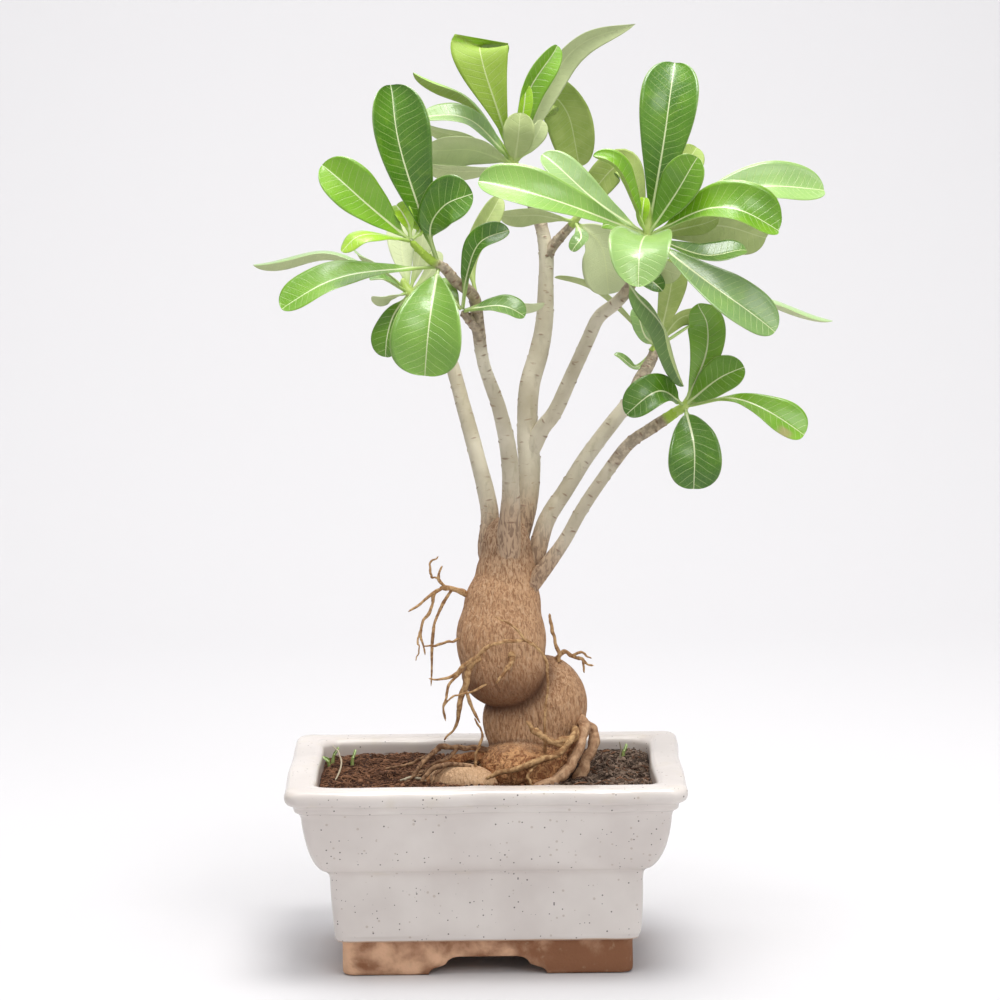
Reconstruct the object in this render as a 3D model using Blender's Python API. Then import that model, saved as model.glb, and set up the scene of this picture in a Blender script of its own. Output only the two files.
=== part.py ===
"""A potted desert rose (adenium): a swollen caudex with aerial roots, six branching stems and
their leathery leaves, growing from soil in a glazed stoneware pot on four bracket feet.

The tables below are in millimetres, measured from the middle of the pot at the level of the
surface it stands on: +X to the right, +Y to the back, +Z up. The plant leans to the right of its
pot, so at the end everything moves until the whole object's box is centred on the origin."""

import bpy
import bmesh
import numpy as np
from mathutils import Matrix, Vector

MM = 0.001
GAP = 0.35                     # clear space between two pieces that touch
SWELL_GAP = 0.95               # round the caudex, whose folds take some of it up

# The pot, outside at the rim.
POT_HALF_WIDTH = 104.0
POT_HALF_DEPTH = 72.0
POT_CORNER = 9.0              # plan radius of the rim's corners
POT_HEIGHT = 105.0
LIP_WIDTH = 16.0
FLOOR_TOP = 20.0
FLOOR_UNDER = 12.0
FOOT_INSET = 28.0              # from the rim's outside to the foot band's
FOOT_HEIGHT = 19.0
FOOT_BAND = 14.0               # how wide the foot band is
NOTCH_HEIGHT = 9.5             # the cut-out between two feet
FOOT_LENGTH = 45.0             # along the front, from the corner to the cut-out
SIDE_FOOT_LENGTH = 24.0        # along the side, likewise
DRAIN_RADIUS = 7.0
SOIL_LEVEL = 97.0
CORNER_STEPS = 5               # points round each plan corner

# (inset from the rim's outside, height): up the outside, over the lip.
POT_OUTSIDE = (
    (30.0, 0.0), (28.3, 1.6), (FOOT_INSET, 4.0), (FOOT_INSET, 18.4), (25.6, FOOT_HEIGHT),
    (24.4, 20.4), (23.8, 24.0), (22.2, 56.0), (20.4, 58.0), (16.4, 62.8), (13.6, 69.0),
    (10.8, 77.0), (8.6, 86.0), (7.4, 95.5), (4.6, 96.2), (1.2, 97.2), (0.0, 99.4), (0.0, 102.0),
    (1.6, 104.2), (4.6, POT_HEIGHT), (LIP_WIDTH - 4.5, POT_HEIGHT),
)
# Down the inside, from above the rim so that it cuts clean, to the floor.
POT_INSIDE = (
    (LIP_WIDTH - 5.5, 107.0), (LIP_WIDTH - 3.5, 104.9), (LIP_WIDTH - 1.2, 103.8),
    (LIP_WIDTH, 101.0), (LIP_WIDTH + 0.8, 88.0), (LIP_WIDTH + 3.5, 76.0), (LIP_WIDTH + 10.0, 64.0),
    (LIP_WIDTH + 15.0, 50.0), (LIP_WIDTH + 16.0, 27.0), (LIP_WIDTH + 20.0, FLOOR_TOP),
)

# The plant leans a little to the back and to the right: turns about X, Y and Z, in degrees.
PLANT_FOOT = (0.0, 0.0, 92.0)
PLANT_LEAN = (-2.6, 0.67, 0.0)

# The caudex: ellipsoids as (centre, radii) and thick roots as chains of (x, y, z, radius).
SWELLINGS = (
    ((11, 0, 205), (15.5, 14, 16)),
    ((9, -1, 190), (20, 18, 18)),
    ((8, -3, 170), (24, 22, 27)),
    ((10, -5, 151), (21, 18, 19)),
    ((30, 3, 134), (24, 20, 27)),
    ((24, 1, 113), (24, 19, 16)),
    ((20, -1, 95), (25, 21, 13)),
    ((20, 0, 82), (17, 15, 13)),
    ((-12, -14, 95), (16, 8, 9)),
)
CAUDEX_VOXEL = 4.2             # how fine its surface is
THICK_ROOTS = (
    ((50, -8, 126, 4), (47, -14, 114, 4), (41, -18, 102, 4), (30, -21, 93, 5)),
    ((50, 2, 124, 4), (56, 2, 118, 3), (55, 2, 106, 3), (50, 2, 92, 4)),
)

# Stems and roots are chains of (x, y, z, radius).
STEMS = {
    "stem_left": (
        (6, 2, 203, 5.5), (1, 3, 217, 5.2), (2, 8, 237, 4.7), (-5, 18, 266, 4.2),
        (-13, 27, 295, 3.9), (-20, 33, 318, 3.6), (-32, 39, 339, 3.3), (-41, 42, 351, 3.0)),
    "stem_front": (
        (11, -6, 200, 8), (12, -8, 210, 7.6), (12, -9, 222, 6.9), (13, -14, 246, 4.7),
        (12, -20, 270, 4.4), (7, -26, 294, 3.8), (-1, -32, 318, 3.2), (-4, -38, 338, 3.3),
        (-6, -42, 353, 3.1), (-15, -46, 361, 2.9), (-21, -50, 368, 2.6), (-29, -54, 373, 2.2),
        (-38, -58, 382, 1.7)),
    "stem_back": (
        (13, 7, 204, 7), (15, 9, 217, 6.8), (21, 13, 240, 6.3), (23, 16, 261, 6.0),
        (22, 18, 278, 5.5), (23, 20, 302, 5.5), (28, 22, 320, 5.2), (31, 23, 337, 4.6),
        (32, 25, 361, 4.0), (32, 26, 373, 4.0), (30, 27, 385, 3.4), (25, 28, 398, 3.0),
        (15, 30, 420, 2.4)),
    "stem_middle": (
        (26, 14, 276, 4.6), (37, 6, 291, 3.9), (46, 0, 312, 3.7), (53, -6, 328, 3.6),
        (59, -12, 341, 3.5), (68, -18, 349, 3.3), (75, -22, 358, 2.9), (80, -31, 371, 2.3),
        (83, -38, 384, 1.8)),
    "stem_right": (
        (22, 2, 200, 5), (26, 3, 212, 5), (32, 6, 232, 4.5), (42, 9, 248, 4.3),
        (53, 13, 265, 4.1), (66, 17, 282, 4.0), (77, 21, 296, 3.6), (82, 24, 306, 3.4),
        (87, 27, 314, 3.1), (91, 30, 323, 2.5)),
    "stem_low_right": (
        (22, -5, 197, 4.2), (29, -7, 206, 4), (41, -10, 223, 3.4), (50, -14, 240, 3.4),
        (61, -18, 257, 3.3), (74, -22, 275, 3.2), (86, -26, 284, 3.1), (96, -28, 291, 2.7),
        (103, -30, 296, 2.0)),
    "twig_front": ((-4, -38, 338, 2.6), (-8, -43, 341, 2.4), (-12, -47, 346, 1.8)),
    "twig_back": ((32, 25, 373, 3.0), (37, 22, 379, 2.7), (47, 14, 390, 1.9)),
}
PARENT_STEM = {"stem_middle": "stem_back", "twig_front": "stem_front", "twig_back": "stem_back"}

# The first chain of each root is its main one, and the others branch from it.
ROOTS = {
    "root_aerial_left": (
        ((-6, -2, 193, 1.5), (-12, -4, 195, 1.4), (-21, -6, 198, 1.2), (-27, -8, 196, 1.0),
         (-41, -12, 186, 0.7)),
        ((-21, -6, 198, 1.0), (-25, -7, 203, 0.8), (-23, -8, 210, 0.7)),
        ((-27, -8, 196, 1.0), (-29, -9, 188, 0.8), (-34, -11, 177, 0.8), (-32, -12, 163, 0.7)),
        ((-18, -5, 197, 0.9), (-24, -6, 187, 0.8), (-28, -8, 174, 0.8), (-29, -9, 146, 0.7)),
    ),
    "root_arch": (
        ((31, -15, 109, 1.4), (31, -21, 113, 1.3), (31, -22.5, 128, 1.2), (32, -23, 146, 1.1),
         (32, -26, 160, 1.1), (28, -28, 168, 1.1), (21, -30, 173, 1.1), (10, -31, 173, 1.1),
         (1, -30, 170, 1.0), (-8, -27, 162, 1.0), (-19, -24, 153, 0.8), (-30, -21, 152, 0.7)),
    ),
    "root_hanging": (
        ((0, -14, 163, 2), (-6, -23, 162, 2), (-9, -25, 157, 1.9), (-11, -24, 148, 1.7),
         (-14, -22, 137, 1.3), (-16, -20, 127, 1.0), (-22, -20, 119, 0.7)),
        ((-11, -24, 148, 0.9), (-7, -25, 137, 0.8), (-3, -25, 129, 0.7)),
    ),
    "root_right_spray": (
        ((36, 0, 156, 1.3), (41, -1, 163, 1.1), (46, -2, 161, 1.0), (51, -2, 159, 0.8),
         (52, -2, 152, 0.7)),
    ),
    "root_front_sweep": (
        ((47, -12, 124, 1.8), (46, -20, 121, 1.7), (38, -25, 113, 1.7), (27, -27.5, 109, 1.6),
         (16, -28, 105, 1.5), (6, -28.5, 103, 1.3), (0, -29, 101, 1.0)),
    ),
    "root_surface_left": (
        ((6, -9, 110, 1.8), (-3, -11, 113, 1.6), (-15, -14, 114, 1.5), (-24, -17, 115, 1.4),
         (-30, -19, 110, 1.3), (-36, -22, 104, 1.1), (-40, -24, 101, 0.9)),
        ((-15, -14, 114, 1.2), (-20, -17, 108.5, 1.0), (-27, -19, 106.5, 1.0), (-32, -19, 102, 0.8)),
    ),
}

# The tufts of leaves: where each tuft grows from its stem, and its leaves as (middle of the
# midrib, tip, width, the way the blade faces). A stalk starts beside the tuft's middle.
TUFTS = {
    "front": ((-24, -51, 369), (
        ((-43, -60, 428), (-47, -60, 461), 31, (0.3, -1, 0.1)),
        ((-26, -62, 393), (-12, -72, 417), 24, (0.3, -0.9, 0.3)),
        ((-70, -72, 365), (-103, -82, 351), 23, (-0.1, -0.6, 0.8)),
        ((-28, -72, 344), (-31, -76, 315), 37, (-0.1, -1, 0.25)))),
    "shoot": ((-38, -58, 382), (
        ((-62, -70, 403), (-81, -76, 421), 23, (-0.3, -0.8, 0.6)),
        ((-54, -80, 385), (-67, -88, 374), 12, (0, -0.4, 1)))),
    "left": ((-41, 42, 351), (
        ((-83, 50, 373), (-125, 54, 363), 18, (0, 0.3, 1)),
        ((-45, 50, 372), (-46, 58, 392), 14, (0, -1, 0.2)),
        ((-36, 48, 370), (-33, 52, 387), 10, (0.6, -0.8, 0)),
        ((-50, 36, 338), (-53, 32, 322), 14, (-0.8, -0.6, 0)))),
    "twig": ((-12, -47, 346), (
        ((-6, -54, 368), (11, -58, 388), 15, (-0.5, -0.7, 0.4)),
        ((6, -54, 349), (20, -58, 346), 14, (0, -0.5, 0.8)))),
    "bare_end": ((-5, -40, 352), (
        ((-7, -33, 376), (8, -26, 404), 12, (0.2, -1, 0)),)),
    "top": ((15, 30, 420), (
        ((4, 20, 450), (-3, 18, 479), 29, (0, -1, 0.1)),
        ((-8, 44, 454), (-40, 48, 466), 16, (0, 0.15, 1)),
        ((-8, 31, 443), (-34, 30, 447), 15, (0, -0.2, 1)),
        ((-8, 12, 428), (-31, 6, 426), 20, (0, -0.6, 0.8)),
        ((22, 28, 457), (39, 30, 482), 14, (0.6, -0.7, 0.3)),
        ((34, 41, 463), (78, 42, 492), 18, (-0.4, -0.6, 0.7)),
        ((34, 57, 452), (48, 64, 421), 18, (0.2, -0.9, 0.4)),
        ((17, 17, 434), (18, 12, 446), 16, (0, -1, 0.2)))),
    "back": ((47, 14, 390), (
        ((26, 4, 394), (8, 0, 392), 13, (0, -0.4, 0.9)),
        ((61, 16, 377), (65, 14, 352), 23, (0, -1, 0.2)))),
    "middle": ((83, -38, 384), (
        ((40, -58, 401), (-3, -62, 414), 25, (0, -0.7, 0.7)),
        ((54, -37, 404), (30, -34, 427), 16, (0.3, -0.8, 0.5)),
        ((74, -50, 412), (58, -56, 426), 15, (0.4, -0.5, 0.8)),
        ((91, -44, 433), (96, -42, 473), 30, (-0.1, -1, 0.05)),
        ((98, -53, 408), (106, -60, 424), 21, (-0.2, -0.9, 0.4)),
        ((116, -59, 396), (149, -64, 394), 30, (0.1, -0.7, 0.7)),
        ((132, -24, 407), (176, -16, 409), 26, (0, -0.7, 0.7)),
        ((80, -72, 380), (76, -98, 362), 31, (0, -0.3, 1)),
        ((116, -62, 359), (147, -70, 338), 25, (0.2, -0.8, 0.5)),
        ((113, -36, 374), (134, -33, 379), 15, (0, -0.4, 0.9)),
        ((72, -18, 420), (52, -8, 403), 16, (0, -0.8, 0.5)))),
    "right": ((91, 30, 323), (
        ((62, 34, 350), (38, 38, 362), 13, (0, -0.1, 1)),
        ((140, 46, 349), (186, 52, 333), 15, (0, 0.1, 1)),
        ((97, 24, 350), (100, 20, 370), 16, (0, -1, 0.2)))),
    "low_right": ((103, -30, 296), (
        ((113, -38, 324), (113, -36, 348), 18, (-0.3, -1, 0.1)),
        ((118, -44, 310), (131, -50, 318), 18, (0, -0.8, 0.6)),
        ((131, -40, 298), (164, -48, 284), 19, (0, -0.6, 0.8)),
        ((89, -48, 305), (75, -56, 298), 18, (0, -0.8, 0.6)),
        ((107, -46, 277), (107, -50, 256), 26, (0, -1, 0.2)))),
}
LEAF_THICKNESS = 0.9
LEAF_STATIONS = (0.0, 0.1, 0.25, 0.42, 0.58, 0.72, 0.85, 0.95)
LEAF_FOLD = 0.12               # how far the two halves rise from the midrib, of the half width
STALK_WIDTH = 2.0
STALK_START = 5.5              # from the middle of the stem's tip


def clear_scene():
    for thing in list(bpy.data.objects):
        bpy.data.objects.remove(thing)


def material(name, colour, roughness):
    made = bpy.data.materials.new(name)
    made.use_nodes = True
    shader = made.node_tree.nodes["Principled BSDF"]
    shader.inputs["Base Color"].default_value = (*colour, 1)
    shader.inputs["Roughness"].default_value = roughness
    shader.inputs["Metallic"].default_value = 0
    return made


def add_object(name, points, faces, finish):
    """An object from points in millimetres, shaded smooth. Faces that enclose a negative volume
    point inwards, and are turned round."""
    points = np.asarray(points) * MM
    fans = [(face[0], face[i], face[i + 1]) for face in faces for i in range(1, len(face) - 1)]
    if np.linalg.det(points[np.array(fans)]).sum() < 0:
        faces = [face[::-1] for face in faces]
    mesh = bpy.data.meshes.new(name)
    mesh.from_pydata([tuple(point) for point in points], [], faces)
    mesh.shade_smooth()
    mesh.set_sharp_from_angle(angle=0.6)
    mesh.materials.append(finish)
    thing = bpy.data.objects.new(name, mesh)
    bpy.context.scene.collection.objects.link(thing)
    return thing


def hide_helper(thing):
    thing.hide_render = True
    thing.display_type = "WIRE"
    return thing


def boolean(thing, other, operation):
    step = thing.modifiers.new(operation.lower(), "BOOLEAN")
    step.object = other
    step.operation = operation
    step.solver = "EXACT"


def skin_rings(rings):
    """Faces between rings of equal length, each end closed by a fan to its middle point."""
    rings = [np.asarray(ring, float) for ring in rings]
    count = len(rings[0])
    points = np.vstack(rings + [rings[0].mean(axis=0), rings[-1].mean(axis=0)])
    first_middle, last_middle = len(points) - 2, len(points) - 1
    faces = []
    for i in range(count):
        after = (i + 1) % count
        for row in range(len(rings) - 1):
            low, high = row * count, (row + 1) * count
            faces.append((low + i, low + after, high + after, high + i))
        top = (len(rings) - 1) * count
        faces.append((after, i, first_middle))
        faces.append((top + i, top + after, last_middle))
    return points, faces


def rounded_rectangle(half_x, half_y, radius, height):
    """The points of a rectangle with round corners, anticlockwise from its right side."""
    turn = np.linspace(0, np.pi / 2, CORNER_STEPS)
    ring = []
    for quarter, (side_x, side_y) in enumerate(((1, 1), (-1, 1), (-1, -1), (1, -1))):
        for angle in turn + quarter * np.pi / 2:
            ring.append((side_x * (half_x - radius) + radius * np.cos(angle),
                         side_y * (half_y - radius) + radius * np.sin(angle), height))
    return ring


def pot_ring(inset, height):
    radius = max(POT_CORNER - 0.35 * inset, 5.0)
    return rounded_rectangle(POT_HALF_WIDTH - inset, POT_HALF_DEPTH - inset, radius, height)


def notch_outline(foot_length, half_band):
    """Half of the cut-out between two feet, from its low outer end to its high middle: a short
    upright, a slope and a small step, as an ogee bracket foot has."""
    end = half_band - foot_length
    return [(end, -5.0), (end, 0.0), (end - 2, 2.5), (end - 8, 4.6), (end - 10, NOTCH_HEIGHT - 2),
            (end - 16, NOTCH_HEIGHT)]


def notch_cutter(name, foot_length, half_band, reach, along_x, finish):
    """The cut-out's outline carried right through the pot, along X or along Y."""
    half = notch_outline(foot_length, half_band)
    outline = half + [(-x, z) for x, z in reversed(half)]
    if along_x:
        rings = [[(side, x, z) for x, z in outline] for side in (-reach, reach)]
    else:
        rings = [[(x, side, z) for x, z in outline] for side in (-reach, reach)]
    return add_object(name, *skin_rings(rings), finish)


def make_pot(glaze):
    pot = add_object("pot", *skin_rings([pot_ring(*row) for row in POT_OUTSIDE]), glaze)
    cavity = add_object("pot_cavity", *skin_rings([pot_ring(*row) for row in POT_INSIDE]), glaze)
    recess_inset = FOOT_INSET + FOOT_BAND
    recess = add_object("pot_recess", *skin_rings(
        [pot_ring(recess_inset, z) for z in (-5.0, FLOOR_UNDER)]), glaze)
    turn = np.linspace(0, 2 * np.pi, 24, endpoint=False)
    hole = [[(DRAIN_RADIUS * np.cos(a), DRAIN_RADIUS * np.sin(a), z) for a in turn]
            for z in (FLOOR_UNDER - 5, FLOOR_TOP + 5)]
    drain = add_object("pot_drain", *skin_rings(hole), glaze)
    front = notch_cutter("pot_notch_front", FOOT_LENGTH, POT_HALF_WIDTH - FOOT_INSET,
                         POT_HALF_DEPTH, False, glaze)
    side = notch_cutter("pot_notch_side", SIDE_FOOT_LENGTH, POT_HALF_DEPTH - FOOT_INSET,
                        POT_HALF_WIDTH, True, glaze)
    for cutter in (cavity, recess, drain, front, side):
        boolean(pot, hide_helper(cutter), "DIFFERENCE")
    return pot


def soil_height(x, y):
    """The soil's gently uneven top: three crossing waves."""
    return (SOIL_LEVEL + 0.9 * np.sin(x / 13.0 + 1.0) * np.cos(y / 11.0)
            + 0.5 * np.sin((x + y) / 7.0) + 0.4 * np.cos((x - 2 * y) / 9.0))


def make_soil(earth, caudex_cutter):
    """The soil fills the pot's inside up to its level, and its top rings shrink to the middle."""
    rings = []
    below = [row for row in reversed(POT_INSIDE) if row[1] < SOIL_LEVEL - 3]
    for inset, height in below:
        lift = GAP if height == FLOOR_TOP else 0.0
        rings.append(pot_ring(inset + GAP, height + lift))
    rim_inset = LIP_WIDTH + 0.4 + GAP
    for share in (1.0, 0.86, 0.7, 0.54, 0.38, 0.22, 0.08):
        flat = np.array(pot_ring(rim_inset, SOIL_LEVEL)) * (share, share, 1)
        flat[:, 2] = soil_height(flat[:, 0], flat[:, 1])
        rings.append(flat)
    soil = add_object("soil", *skin_rings(rings), earth)
    boolean(soil, caudex_cutter, "DIFFERENCE")


def smooth_path(chain, per_span):
    """A Catmull-Rom curve through the chain's points, with the radius carried along."""
    chain = np.asarray(chain, float)
    padded = np.vstack([2 * chain[0] - chain[1], chain, 2 * chain[-1] - chain[-2]])
    rows = []
    for i in range(1, len(padded) - 2):
        before, start, end, after = padded[i - 1:i + 3]
        for t in np.arange(per_span) / per_span:
            rows.append(0.5 * (2 * start + (end - before) * t
                               + (2 * before - 5 * start + 4 * end - after) * t ** 2
                               + (3 * start - before - 3 * end + after) * t ** 3))
    return np.vstack(rows + [chain[-1]])


def tube(chain, sides, per_span):
    """A round tube along the chain, its frame carried from point to point without twist, with
    a short rounded end at each tip."""
    path = smooth_path(chain, per_span)
    centres, radii = path[:, :3], np.maximum(path[:, 3], 0.3)
    along = np.gradient(centres, axis=0)
    along /= np.linalg.norm(along, axis=1)[:, None]
    first = centres[0] - along[0] * radii[0] * 0.4
    last = centres[-1] + along[-1] * radii[-1] * 0.4
    centres = np.vstack([first, centres, last])
    radii = np.concatenate([[radii[0] * 0.7], radii, [radii[-1] * 0.6]])
    along = np.vstack([along[0], along, along[-1]])
    across = np.cross(along[0], (0.3, 1.0, 0.2))
    turn = np.linspace(0, 2 * np.pi, sides, endpoint=False)
    rings = []
    for centre, radius, direction in zip(centres, radii, along):
        across = across - direction * (across @ direction)
        across /= np.linalg.norm(across)
        upright = np.cross(direction, across)
        rings.append(centre + radius * (np.outer(np.cos(turn), across)
                                        + np.outer(np.sin(turn), upright)))
    return skin_rings(rings)


def make_caudex(skin):
    """The swellings and thick roots, remeshed as one body and smoothed."""
    body = bmesh.new()
    for centre, radii in SWELLINGS:
        place = Matrix.Translation(Vector(centre) * MM) @ Matrix.Diagonal((*radii, 1 / MM)) * MM
        bmesh.ops.create_icosphere(body, subdivisions=4, radius=1.0, matrix=place)
    for chain in THICK_ROOTS:
        points, faces = tube(chain, 10, 3)
        corners = [body.verts.new(Vector(point) * MM) for point in points]
        for face in faces:
            body.faces.new([corners[i] for i in face])
    bmesh.ops.recalc_face_normals(body, faces=body.faces)
    made = []
    for name in ("caudex", "caudex_cutter"):
        mesh = bpy.data.meshes.new(name)
        body.to_mesh(mesh)
        mesh.materials.append(skin)
        thing = bpy.data.objects.new(name, mesh)
        bpy.context.scene.collection.objects.link(thing)
        remesh = thing.modifiers.new("one_body", "REMESH")
        remesh.mode = "VOXEL"
        remesh.voxel_size = CAUDEX_VOXEL * MM
        remesh.use_smooth_shade = True
        soften = thing.modifiers.new("soften", "SMOOTH")
        soften.factor = 0.5
        soften.iterations = 3
        made.append(thing)
    body.free()
    swell = made[1].modifiers.new("clearance", "DISPLACE")
    swell.strength = SWELL_GAP * MM
    swell.mid_level = 0.0
    hide_helper(made[1])
    return made


def make_stems(bark, caudex_cutter):
    for name, chain in STEMS.items():
        stem = add_object(name, *tube(chain, 8, 2), bark)
        if name not in PARENT_STEM:
            boolean(stem, caudex_cutter, "DIFFERENCE")
            continue
        parent = np.array(STEMS[PARENT_STEM[name]], float) + (0, 0, 0, GAP)
        cutter = add_object(name + "_cutter", *tube(parent, 16, 4), bark)
        boolean(stem, hide_helper(cutter), "DIFFERENCE")


def make_roots(skin, caudex_cutter):
    for name, chains in ROOTS.items():
        root = add_object(name, *tube(chains[0], 6, 2), skin)
        for i, chain in enumerate(chains[1:]):
            branch = add_object(f"{name}_branch_{i}", *tube(chain, 6, 2), skin)
            boolean(root, hide_helper(branch), "UNION")
        boolean(root, caudex_cutter, "DIFFERENCE")


def leaf_half_width(t, width):
    """The leaf's outline: narrow at the stalk, widest past the middle, round at the tip."""
    return np.maximum(0.5 * width * 1.855 * t * np.sqrt(1 - np.minimum(t, 1) ** 2.5),
                      0.5 * STALK_WIDTH)


def leaf_rings(start, middle, tip, width, facing):
    """Six-sided sections along a curve through start, middle and tip: two halves that rise a
    little from the midrib, with an even thickness."""
    control = 2 * middle - 0.5 * (start + tip)
    rings = []
    for t in LEAF_STATIONS:
        centre = (1 - t) ** 2 * start + 2 * t * (1 - t) * control + t ** 2 * tip
        along = (1 - t) * (control - start) + t * (tip - control)
        along /= np.linalg.norm(along)
        up = facing - along * (facing @ along)
        up /= np.linalg.norm(up)
        across = np.cross(along, up)
        half = leaf_half_width(t, width)
        rise = LEAF_FOLD * half * min(1, 4 * t)
        above, below = 0.5 * LEAF_THICKNESS * up, -0.5 * LEAF_THICKNESS * up
        edges = (-half * across + rise * up, half * across + rise * up)
        rings.append([centre + edges[0] + above, centre + above, centre + edges[1] + above,
                      centre + edges[1] + below, centre + below, centre + edges[0] + below])
    tip_ring = np.array(rings[-1])
    closing = tip + 0.25 * (tip_ring - tip_ring.mean(axis=0))
    return rings + [closing]


def make_leaves(blade):
    for tuft, (heart, leaves) in TUFTS.items():
        for number, (middle, tip, width, facing) in enumerate(leaves, 1):
            middle, tip, facing = (np.array(row, float) for row in (middle, tip, facing))
            outward = (middle - heart) / np.linalg.norm(middle - heart)
            rings = leaf_rings(heart + STALK_START * outward, middle, tip, width, facing)
            add_object(f"leaf_{tuft}_{number}", *skin_rings(rings), blade)


def add_empty(name, place, children):
    empty = bpy.data.objects.new(name, None)
    bpy.context.scene.collection.objects.link(empty)
    empty.location = Vector(place) * MM
    bpy.context.view_layer.update()
    for thing in children:
        thing.parent = empty
        thing.matrix_parent_inverse = empty.matrix_world.inverted()
    return empty


def lean_plant():
    """Hangs the plant from an empty at the soil, and leans it by turning the empty."""
    pieces = [thing for thing in bpy.context.scene.objects
              if not thing.name.startswith(("pot", "soil"))]
    plant = add_empty("plant", PLANT_FOOT, pieces)
    plant.rotation_euler = [np.radians(angle) for angle in PLANT_LEAN]


def centre_on_origin():
    """Hangs everything from one empty, and moves that so the box is centred in X and Y."""
    bpy.context.view_layer.update()
    graph = bpy.context.evaluated_depsgraph_get()
    points = []
    for thing in bpy.context.scene.objects:
        if thing.type == "MESH" and not thing.hide_render:
            mesh = thing.evaluated_get(graph).to_mesh()
            flat = np.empty(3 * len(mesh.vertices), np.float32)
            mesh.vertices.foreach_get("co", flat)
            place = np.array(thing.matrix_world)
            points.append(flat.reshape(-1, 3) @ place[:3, :3].T + place[:3, 3])
    points = np.vstack(points)
    middle = 0.5 * (points.min(axis=0) + points.max(axis=0))
    loose = [thing for thing in bpy.context.scene.objects if thing.parent is None]
    whole = add_empty("potted_plant", (0, 0, 0), loose)
    whole.location = (-middle[0], -middle[1], 0)
    bpy.context.view_layer.update()


clear_scene()
glaze = material("speckled_glaze", (0.80, 0.79, 0.77), 0.25)
earth = material("potting_soil", (0.09, 0.045, 0.03), 0.95)
skin = material("caudex_skin", (0.45, 0.27, 0.15), 0.75)
bark = material("stem_bark", (0.42, 0.42, 0.33), 0.7)
blade = material("leaf_blade", (0.10, 0.27, 0.05), 0.35)
caudex, caudex_cutter = make_caudex(skin)
make_pot(glaze)
make_soil(earth, caudex_cutter)
make_stems(bark, caudex_cutter)
make_roots(skin, caudex_cutter)
make_leaves(blade)
lean_plant()
centre_on_origin()
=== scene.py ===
import bpy
import numpy as np
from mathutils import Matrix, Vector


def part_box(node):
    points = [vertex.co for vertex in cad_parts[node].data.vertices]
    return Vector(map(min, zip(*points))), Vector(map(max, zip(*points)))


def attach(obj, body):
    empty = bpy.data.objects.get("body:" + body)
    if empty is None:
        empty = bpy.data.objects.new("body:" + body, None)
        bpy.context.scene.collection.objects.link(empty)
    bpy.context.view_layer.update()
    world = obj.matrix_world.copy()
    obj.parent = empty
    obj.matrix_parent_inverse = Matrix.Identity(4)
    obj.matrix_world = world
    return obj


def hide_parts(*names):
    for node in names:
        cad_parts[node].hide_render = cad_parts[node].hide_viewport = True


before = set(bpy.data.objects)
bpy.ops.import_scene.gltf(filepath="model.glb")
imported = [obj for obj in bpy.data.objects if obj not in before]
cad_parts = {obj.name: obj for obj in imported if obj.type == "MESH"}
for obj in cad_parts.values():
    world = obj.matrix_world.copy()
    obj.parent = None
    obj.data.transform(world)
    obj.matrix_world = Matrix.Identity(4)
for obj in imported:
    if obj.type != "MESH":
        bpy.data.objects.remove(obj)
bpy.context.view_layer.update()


# ---- Pot ------------------------------------------------------------------------------------
# A pressed stoneware pot on four bracket feet, a little uneven from its mould. It was dipped in
# a white glaze in which iron grains burnt out as dark specks, and its foot was wiped bare.

MM = 0.001
pot_low, pot_high = (np.array(corner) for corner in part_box("pot"))
POT_MIDDLE = (0.5 * (pot_low + pot_high)) * (1, 1, 0)
POT_HALF = 0.5 * (pot_high - pot_low)[:2] / MM
RIM_HEIGHT = pot_high[2] / MM
FLOOR_TOP, FLOOR_UNDER = 20.0, 12.0
FOOT_INSET, RECESS_INSET = 28.0, 42.0
GLAZE_EDGE = 18.8
DRAIN_RADIUS = 7.0
LIP_WIDTH = 16.0

# (inset from the rim's outside, height): up the outside and over the lip, then down the inside.
POT_OUTSIDE = (
    (30.0, 0.0), (28.4, 0.9), (27.9, 3.2), (27.9, 10.0), (27.9, 17.4), (26.6, 18.6),
    (25.0, 19.4), (24.2, 21.4), (23.7, 26.0), (22.9, 42.0), (22.6, 52.0), (22.0, 55.4),
    (20.4, 57.4), (17.6, 59.4), (14.7, 63.5), (12.1, 69.5), (10.0, 77.0), (8.6, 84.5),
    (8.0, 89.0), (6.6, 91.4), (4.9, 92.6), (4.0, 95.4), (1.0, 97.4), (0.0, 100.0),
    (0.3, 102.6), (2.0, 104.4), (5.0, 105.0), (11.0, 104.9),
    (13.8, 104.2), (15.6, 102.6), (16.2, 99.6), (16.8, 88.0), (19.5, 76.0),
    (26.0, 64.0), (31.0, 50.0), (32.0, 27.0), (36.0, FLOOR_TOP))
INSIDE_FROM, INSIDE_CORNER = 28, 10.0   # from this row on, the corners are rounder
FRONT_CUTOUT = ((15.0, 9.5), (18.0, 9.0), (20.6, 7.6), (22.2, 5.4), (25.0, 4.2), (28.6, 3.0),
                (30.4, 1.4), (31.0, 0.0))
SIDE_CUTOUT_SHIFT = 11.0       # the side's cut-out is this much narrower, each half


def place(points):
    """Millimetres from the middle of the pot's footprint, to metres in the frame."""
    return np.asarray(points, float) * MM + POT_MIDDLE


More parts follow.
